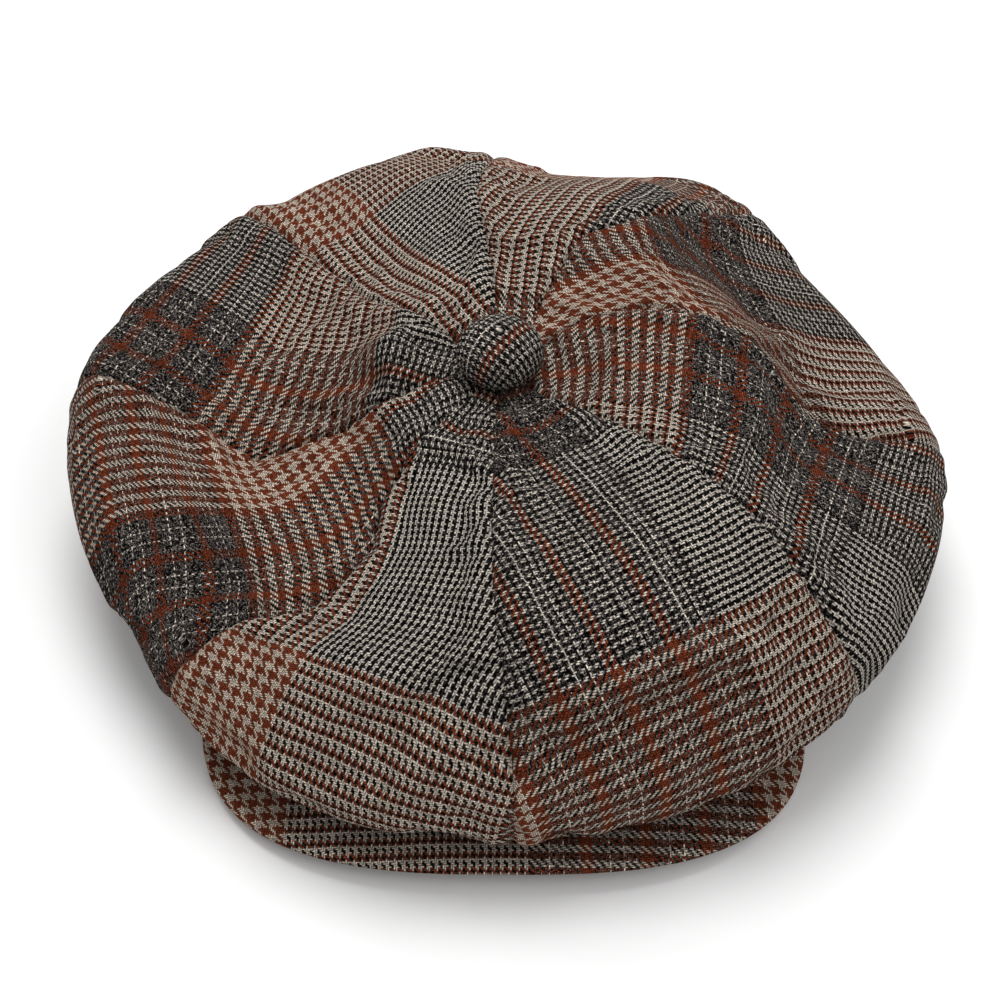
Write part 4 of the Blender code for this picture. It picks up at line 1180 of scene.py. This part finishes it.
def build_band():
    # painted shade: the band's tweed is darkened to 0.86 of the crown's
    band_tweed = tweed("tweed_band_cloth", level=0.86)
    cotton = ribbed("sweatband_cotton_cloth", dark=(0.022, 0.020, 0.021),
                    light=(0.075, 0.070, 0.072), pitch=(0.42, 0.9), rough=0.85, bump=0.5,
                    stitches=dict(height=24.6, pitch=3.1, colour=(0.30, 0.26, 0.21)), sheen=0.25)
    buckram = ribbed("buckram_cloth", dark=(0.34, 0.30, 0.22), light=(0.66, 0.61, 0.50),
                     pitch=(0.95, 0.95), rough=0.8, bump=0.8)
    webbing = ribbed("elastic_webbing_cloth", dark=(0.42, 0.41, 0.39), light=(0.74, 0.73, 0.70),
                     pitch=(1.5, 0.5), rough=0.75, bump=0.8)
    tape = ribbed("joint_tape_cloth", dark=(0.018, 0.018, 0.018), light=(0.07, 0.068, 0.066),
                  pitch=(0.5, 0.5), rough=0.8, bump=0.6)
    pieces = (
        ("sweatband", "sweatband_cotton", cotton,
         dict(inside=0.0, outside=SWEATBAND_THICKNESS, bottom=0.0, top=SWEATBAND_HEIGHT,
              wobble=0.05, seed=5)),
        ("band_stiffener", "buckram", buckram,
         dict(inside=STIFFENER_INSIDE, outside=STIFFENER_OUTSIDE, bottom=0.0,
              top=STIFFENER_HEIGHT, half_angle=180.0 - ELASTIC_HALF_ANGLE - ELASTIC_END_GAP,
              centre=-90.0, segments=260, wobble=0.03, rows=12)),
        ("back_elastic", "elastic_webbing", webbing,
         dict(inside=STIFFENER_INSIDE, outside=STIFFENER_OUTSIDE, bottom=ELASTIC_BOTTOM,
              top=ELASTIC_TOP, half_angle=ELASTIC_HALF_ANGLE, centre=90.0, segments=120,
              over_visor=False, wobble=0.05, rows=12)),
        ("crown_joint_tape", "joint_tape", tape,
         dict(inside=STIFFENER_INSIDE - TAPE_OVERLAP, outside=STIFFENER_OUTSIDE,
              bottom=TAPE_BOTTOM, top=BAND_HEIGHT, over_visor=False, wobble=0.03, rows=8)),
        ("head_band", "tweed_band", band_tweed,
         dict(inside=BAND_INSIDE, outside=BAND_OUTSIDE, bottom=0.0, top=BAND_HEIGHT,
              wobble=0.06, seed=8, lay=BAND_LAY)),
    )
    for name, slot, material, form in pieces:
        piece = strip(name + "_cloth", material, **form)
        stand_in(name)
        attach(piece, "cap")


# ------------------------------------------------------------ visor
even_sweep = np.linspace(-1, 1, 181)
VISOR_SWEEP = 0.5 * (np.sin(even_sweep * np.pi / 2) + even_sweep)      # closer near the tips


def visor_point(sweep, reach, shrink):
    """Middle of the layers: sweep from tip to tip, -1 to 1; reach from band (0) to edge (1)."""
    bearing = np.radians(FIRST_BEARING + VISOR_SEAM_HALF_ANGLE * sweep)
    inner_offset = BAND_OUTSIDE + VISOR_BAND_GAP
    inner = band_radius(bearing, inner_offset)
    # free edge: a superellipse whose ends turn in to the tips
    from_front = np.abs(sweep)
    turn = ramp(from_front, 0, VISOR_SIDE_SHARE) * np.pi / 2
    half_width = VISOR_HALF_WIDTH - shrink
    edge_x = half_width * np.sin(turn) ** (2 / VISOR_POWER)
    edge_y = (VISOR_CENTRE_Y - (VISOR_REACH - shrink)
              * np.clip(np.cos(turn), 0, 1) ** (2 / VISOR_POWER))
    tip_bearing = np.radians(FIRST_BEARING + VISOR_SEAM_HALF_ANGLE)
    tip = band_radius(tip_bearing, inner_offset + VISOR_TIP_GAP)
    tip_part = ramp(from_front, VISOR_SIDE_SHARE, 1 - VISOR_SIDE_SHARE)
    edge_x = edge_x - (half_width - tip * np.cos(tip_bearing)) * tip_part ** 1.6
    edge_y = edge_y + (tip * np.sin(tip_bearing) - VISOR_CENTRE_Y) * tip_part
    edge_x = np.sign(sweep) * edge_x + VISOR_CENTRE_X * np.clip(1 - from_front ** 4, 0, 1)
    x = inner * np.cos(bearing) * (1 - reach) + edge_x * reach
    y = inner * np.sin(bearing) * (1 - reach) + edge_y * reach
    nose = np.clip((-y - NOSE_DROP_START) / NOSE_DROP_LENGTH, 0, 1.2)
    z = (VISOR_CORNER_HEIGHT
         + VISOR_ARCH * (1 - np.clip(np.abs(x) / VISOR_ARCH_HALF_WIDTH, 0, 1) ** 2)
         - VISOR_NOSE_DROP * nose)
    return np.stack([x, y, z], -1)


def visor_cover(name, material, side, seed):
    """Top (side 1) or under (side -1) cover: flat over the board, turned in at the edge seam."""
    sections = [(reach, 0.0) for reach in np.linspace(0, 1, 34)[:-1]]
    sections += [(1.0, turn) for turn in np.radians(np.linspace(0, 88, 13))]
    outer, inner = [], []
    for reach, turn in sections:
        for grid, face in ((outer, COVER_OUTSIDE), (inner, COVER_INSIDE)):
            line = visor_point(VISOR_SWEEP, reach, COVER_OUTSIDE - face * math.sin(turn))
            grid.append(line + np.array([0, 0, side * face * math.cos(turn)]))
    outer, inner = np.array(outer), np.array(inner)
    # soft unevenness over the board, a welt at the edge seam and a drawn line at the band
    along = arc_length(outer, 0)
    left = along[-1:] - along
    edge_waves = waves(seed + 5, (5.3, 8.7, 14.0), (0.05, 0.06, 0.06))
    along_edge = arc_length(outer, 1)[-1:]
    lift = rolling(outer[..., 0], outer[..., 1], seed=seed, lengths=(13.0, 24.0, 40.0),
                   sizes=(0.10, 0.16, 0.16), stretch=1.5, lean=0.4)
    lift = lift * ramp(along, 0, 6.0) * ramp(left, 0, 8.0)
    lift += 0.30 * bell(left - 4.5, 2.2) - 0.22 * bell(left - 8.6, 1.2)
    lift += edge_waves(along_edge) * np.exp(-left / 5.0) * ramp(left, 0, 1.5) * 1.5
    lift += 0.12 * bell(along - 5.0, 2.5) - 0.35 * bell(along, 2.2)
    outer[..., 2] += side * np.clip(lift, -0.5, 0.8)
    edge_cloth = np.clip(2.0 - left, 0, 2) * 0.6
    return shell(name, outer, inner, material,
                 laid(outer[..., 0], -outer[..., 1] + edge_cloth, *VISOR_LAY))


def bend_with_visor(piece):
    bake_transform(piece)


def build_visor_covers():
    # painted shade: the visor's tweed is a little darker than the crown's
    material = tweed("tweed_visor_cloth", level=0.97)
    for name, side, seed in (("visor_top_cover", 1, 61), ("visor_under_cover", -1, 62)):
        piece = visor_cover(name + "_cloth", material, side, seed)
        stand_in(name)
        bend_with_visor(piece)


def build_visor_board():
    """A copy of the CAD board with its own material, its transform baked into the mesh."""
    material = moulded("visor_board_moulded", dark=(0.60, 0.59, 0.55), light=(0.76, 0.75, 0.71),
                       rough=0.5)
    mesh = nodes["visor_board"].data.copy()
    mesh.materials.clear()
    mesh.materials.append(material)
    for polygon in mesh.polygons:
        polygon.material_index = 0
    piece = bpy.data.objects.new("visor_board_bending", mesh)
    scene.collection.objects.link(piece)
    bpy.context.view_layer.update()
    piece.matrix_world = nodes["visor_board"].matrix_world.copy()
    stand_in("visor_board")
    bend_with_visor(piece)


# ------------------------------------------------------------ button
def build_button_cover():
    """Cloth drawn over the button: a full dome gathered round its rim to the underside."""
    # painted light: the button's tweed is brighter than the crown's
    material = tweed("tweed_button_cloth", level=1.07)
    columns, rows = 144, 66
    turn = np.arange(columns) * 2 * np.pi / columns
    part = np.linspace(0.02, 1, rows)
    # profile from the pole out to the equator and in under the button
    fall = part * math.radians(180.0 - BUTTON_OPEN_ANGLE)
    above = fall < np.pi / 2
    radius = np.where(above, BUTTON_RADIUS * np.sin(fall) ** 0.92,
                      BUTTON_UNDER_RADIUS
                      + (BUTTON_RADIUS - BUTTON_UNDER_RADIUS) * np.sin(fall) ** 0.8)
    under_depth = (BUTTON_EQUATOR - BUTTON_BOTTOM) / math.cos(math.radians(BUTTON_OPEN_ANGLE))
    z = BUTTON_EQUATOR + np.where(above, BUTTON_TOP - BUTTON_EQUATOR, under_depth) * np.cos(fall)
    turns, radii = np.meshgrid(turn, radius)

    # gathered folds towards the rim, and a lumpy top
    random = np.random.RandomState(5)
    folds = np.zeros_like(radii)
    spacing = 2 * np.pi / BUTTON_FOLDS
    for centre in np.arange(BUTTON_FOLDS) * spacing + random.uniform(-0.12, 0.12, BUTTON_FOLDS):
        distance = (turns - centre + np.pi) % (2 * np.pi) - np.pi
        folds -= random.uniform(0.35, 0.75) * bell(distance, 0.075)
        folds += 0.16 * bell(distance, 0.17)
    gathered = ramp(part[:, None], 0.34, 0.3) ** 1.5
    lumps = rolling(radii * np.cos(turns), radii * np.sin(turns), seed=77, lengths=(9.0, 15.0),
                    sizes=(0.16, 0.30))
    growth = folds * gathered + lumps * np.clip(1.2 - gathered, 0, 1)

    def skin(depth):
        reach = radii + (growth - depth) * np.sin(fall)[:, None]
        height = z[:, None] + (growth - depth) * np.cos(fall)[:, None]
        return np.stack([reach * np.cos(turns), reach * np.sin(turns), height], -1)

    outer, inner = skin(0.0), skin(BUTTON_CLOTH)
    steps = np.hypot(np.diff(radius), np.diff(z))
    length = np.concatenate([[0.3], 0.3 + np.cumsum(steps)])[:, None]
    cloth_map = laid(length * np.cos(turns), length * np.sin(turns), *BUTTON_LAY).reshape(-1, 2)
    pole = laid(np.zeros(1), np.zeros(1), *BUTTON_LAY)

    half = rows * columns
    last = (rows - 1) * columns
    faces = grid_faces(rows, columns, wrap=True) + grid_faces(rows, columns, half, True, True)
    for j in range(columns):
        after = (j + 1) % columns
        faces.append([last + j, last + j + half, last + after + half, last + after])
        faces.append([j, after, 2 * half])
        faces.append([j + half, 2 * half + 1, after + half])
    points = np.concatenate([outer.reshape(-1, 3), inner.reshape(-1, 3),
                             [outer[0].mean(axis=0)], [inner[0].mean(axis=0)]])
    piece = add_mesh("button_cover_cloth", points, faces, material,
                     np.concatenate([cloth_map, cloth_map, pole, pole]))
    stand_in("button_cover")
    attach(piece, "button")


def build_shank_thread():
    """A few turns of thread wound into a ring, with the twist of the strands."""
    columns, rows = 120, 26
    turn, roll = np.meshgrid(np.arange(columns) * 2 * np.pi / columns,
                             np.arange(rows) * 2 * np.pi / rows)
    bulge = 0.80 + 0.08 * np.abs(np.cos(2.5 * roll)) + 0.04 * np.sin(26 * turn + 3 * roll)
    radius = COIL_RADIUS + bulge * np.cos(roll)
    points = np.stack([radius * np.cos(turn), radius * np.sin(turn),
                       COIL_HEIGHT + bulge * np.sin(roll)], -1)
    faces = []
    for i in range(rows):
        near, far = i * columns, ((i + 1) % rows) * columns
        for j in range(columns):
            after = (j + 1) % columns
            faces.append([near + j, near + after, far + after, far + j])
    cloth_map = np.stack([turn * COIL_RADIUS, roll * 0.9], -1)
    material = ribbed("thread_twist", dark=(0.018, 0.014, 0.012), light=(0.11, 0.085, 0.07),
                      pitch=(0.3, 0.35), rough=0.6, bump=0.8)
    piece = add_mesh("shank_thread_coil", points.reshape(-1, 3), faces, material,
                     cloth_map.reshape(-1, 2))
    stand_in("shank_thread")
    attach(piece, "crown_apex")


def dress_cad_nodes():
    """Materials for the CAD pieces that are shown as they are."""
    steel = pressed_steel("button_steel_plated")
    plastic = moulded("washer_moulded", dark=(0.03, 0.03, 0.032), light=(0.08, 0.08, 0.082),
                      rough=0.45)
    for name, material in (("button_shell", steel), ("button_back_plate", steel),
                           ("button_shank", steel), ("anchor_washer", plastic)):
        materials = nodes[name].data.materials
        if len(materials) == 0:
            materials.append(material)
        for i in range(len(materials)):
            materials[i] = material


# ------------------------------------------------------------ stage, light and camera
def floor_paper():
    """Pale paper with a glow that grows outward, so it stays as pale far off as near."""
    material, graph = new_material("floor_paper")
    tone = graph.noise(graph.coordinates(), scale=3.0)
    flat = graph.vector("MULTIPLY", graph.coordinates(), (1.0, 1.0, 0.0))
    distance = graph.node("ShaderNodeVectorMath", operation="LENGTH")
    graph.wire(flat, distance.inputs[0])
    far = graph.node("ShaderNodeMapRange", interpolation_type="SMOOTHSTEP")
    graph.wire(distance.outputs["Value"], far.inputs[0])
    # metres from the middle where the glow starts and is full
    far.inputs[1].default_value, far.inputs[2].default_value = 0.35, 1.9
    graph.surface({
        "Base Color": graph.blend(tone, (0.90, 0.90, 0.90), (0.93, 0.93, 0.93)),
        "Roughness": 0.9,
        "Specular IOR Level": 0.0,
        "Emission Color": (1.0, 1.0, 1.0),
        "Emission Strength": graph.times(far.outputs[0], 0.37),
    })
    return material


def build_floor():
    size = FLOOR_HALF_SIZE
    mesh = bpy.data.meshes.new("studio_floor")
    mesh.from_pydata([(-size, -size, 0), (size, -size, 0), (size, size, 0), (-size, size, 0)],
                     [], [(0, 1, 2, 3)])
    floor = bpy.data.objects.new("studio_floor", mesh)
    floor.location = (0, 0, CAD_LOW[2] - 0.0002)
    scene.collection.objects.link(floor)
    mesh.materials.append(floor_paper())
    # a visor bent down reaches below the floor line, so the floor drops with it
    give = floor.constraints.new("TRANSFORM")
    give.target = nodes["visor_board"].parent
    give.map_from, give.map_to = "ROTATION", "LOCATION"
    give.map_to_z_from = "X"
    give.from_min_x_rot, give.from_max_x_rot = 0.0, math.radians(8.0)
    give.to_min_z, give.to_max_z = 0.0, -0.0052


def build_sky():
    """Soft sky for the lighting and an even backdrop for the camera."""
    world = bpy.data.worlds.new("studio")
    scene.world = world
    world.use_nodes = True
    graph = Graph(world.node_tree)
    up = graph.split(graph.coordinates("Generated"))[2]
    level = graph.mix(graph.math("ADD", up, 0.0, clamp=True), HORIZON_LEVEL, ZENITH_LEVEL)
    lighting = world.node_tree.nodes["Background"]
    backdrop = graph.node("ShaderNodeBackground")
    for background, strength in ((lighting, level), (backdrop, BACKDROP_LEVEL)):
        graph.wire((1.0, 1.0, 1.0), background.inputs[0])
        graph.wire(strength, background.inputs[1])
    either = graph.node("ShaderNodeMixShader")
    camera_ray = graph.node("ShaderNodeLightPath").outputs["Is Camera Ray"]
    for i, source in enumerate((camera_ray, lighting.outputs[0], backdrop.outputs[0])):
        graph.wire(source, either.inputs[i])
    graph.wire(either.outputs[0], world.node_tree.nodes["World Output"].inputs[0])


def aim_at(thing, place, aim):
    thing.location = place
    heading = Vector(aim) - Vector(place)
    thing.rotation_euler = heading.to_track_quat("-Z", "Y").to_euler()


def add_lamp(name, place, aim, power, width):
    light = bpy.data.lights.new(name, "AREA")
    light.shape = "DISK"
    light.size = width
    light.energy = power
    light.color = (1.0, 1.0, 1.0)
    lamp = bpy.data.objects.new(name, light)
    aim_at(lamp, place, aim)
    scene.collection.objects.link(lamp)


def add_camera():
    optics = bpy.data.cameras.new("camera")
    optics.lens = CAMERA_LENS
    optics.sensor_width = CAMERA_SENSOR
    optics.clip_start = 0.01
    camera = bpy.data.objects.new("camera", optics)
    aim_at(camera, CAMERA_PLACE, CAMERA_AIM)
    scene.collection.objects.link(camera)
    scene.camera = camera
    scene.view_settings.view_transform = "Standard"
    scene.view_settings.look = "None"
    scene.view_settings.gamma = 0.80


build_crown()
build_lining()
build_band()
build_visor_covers()
build_visor_board()
build_button_cover()
build_shank_thread()
dress_cad_nodes()
build_floor()
build_sky()
for lamp_settings in LAMPS:
    add_lamp(**lamp_settings)
add_camera()
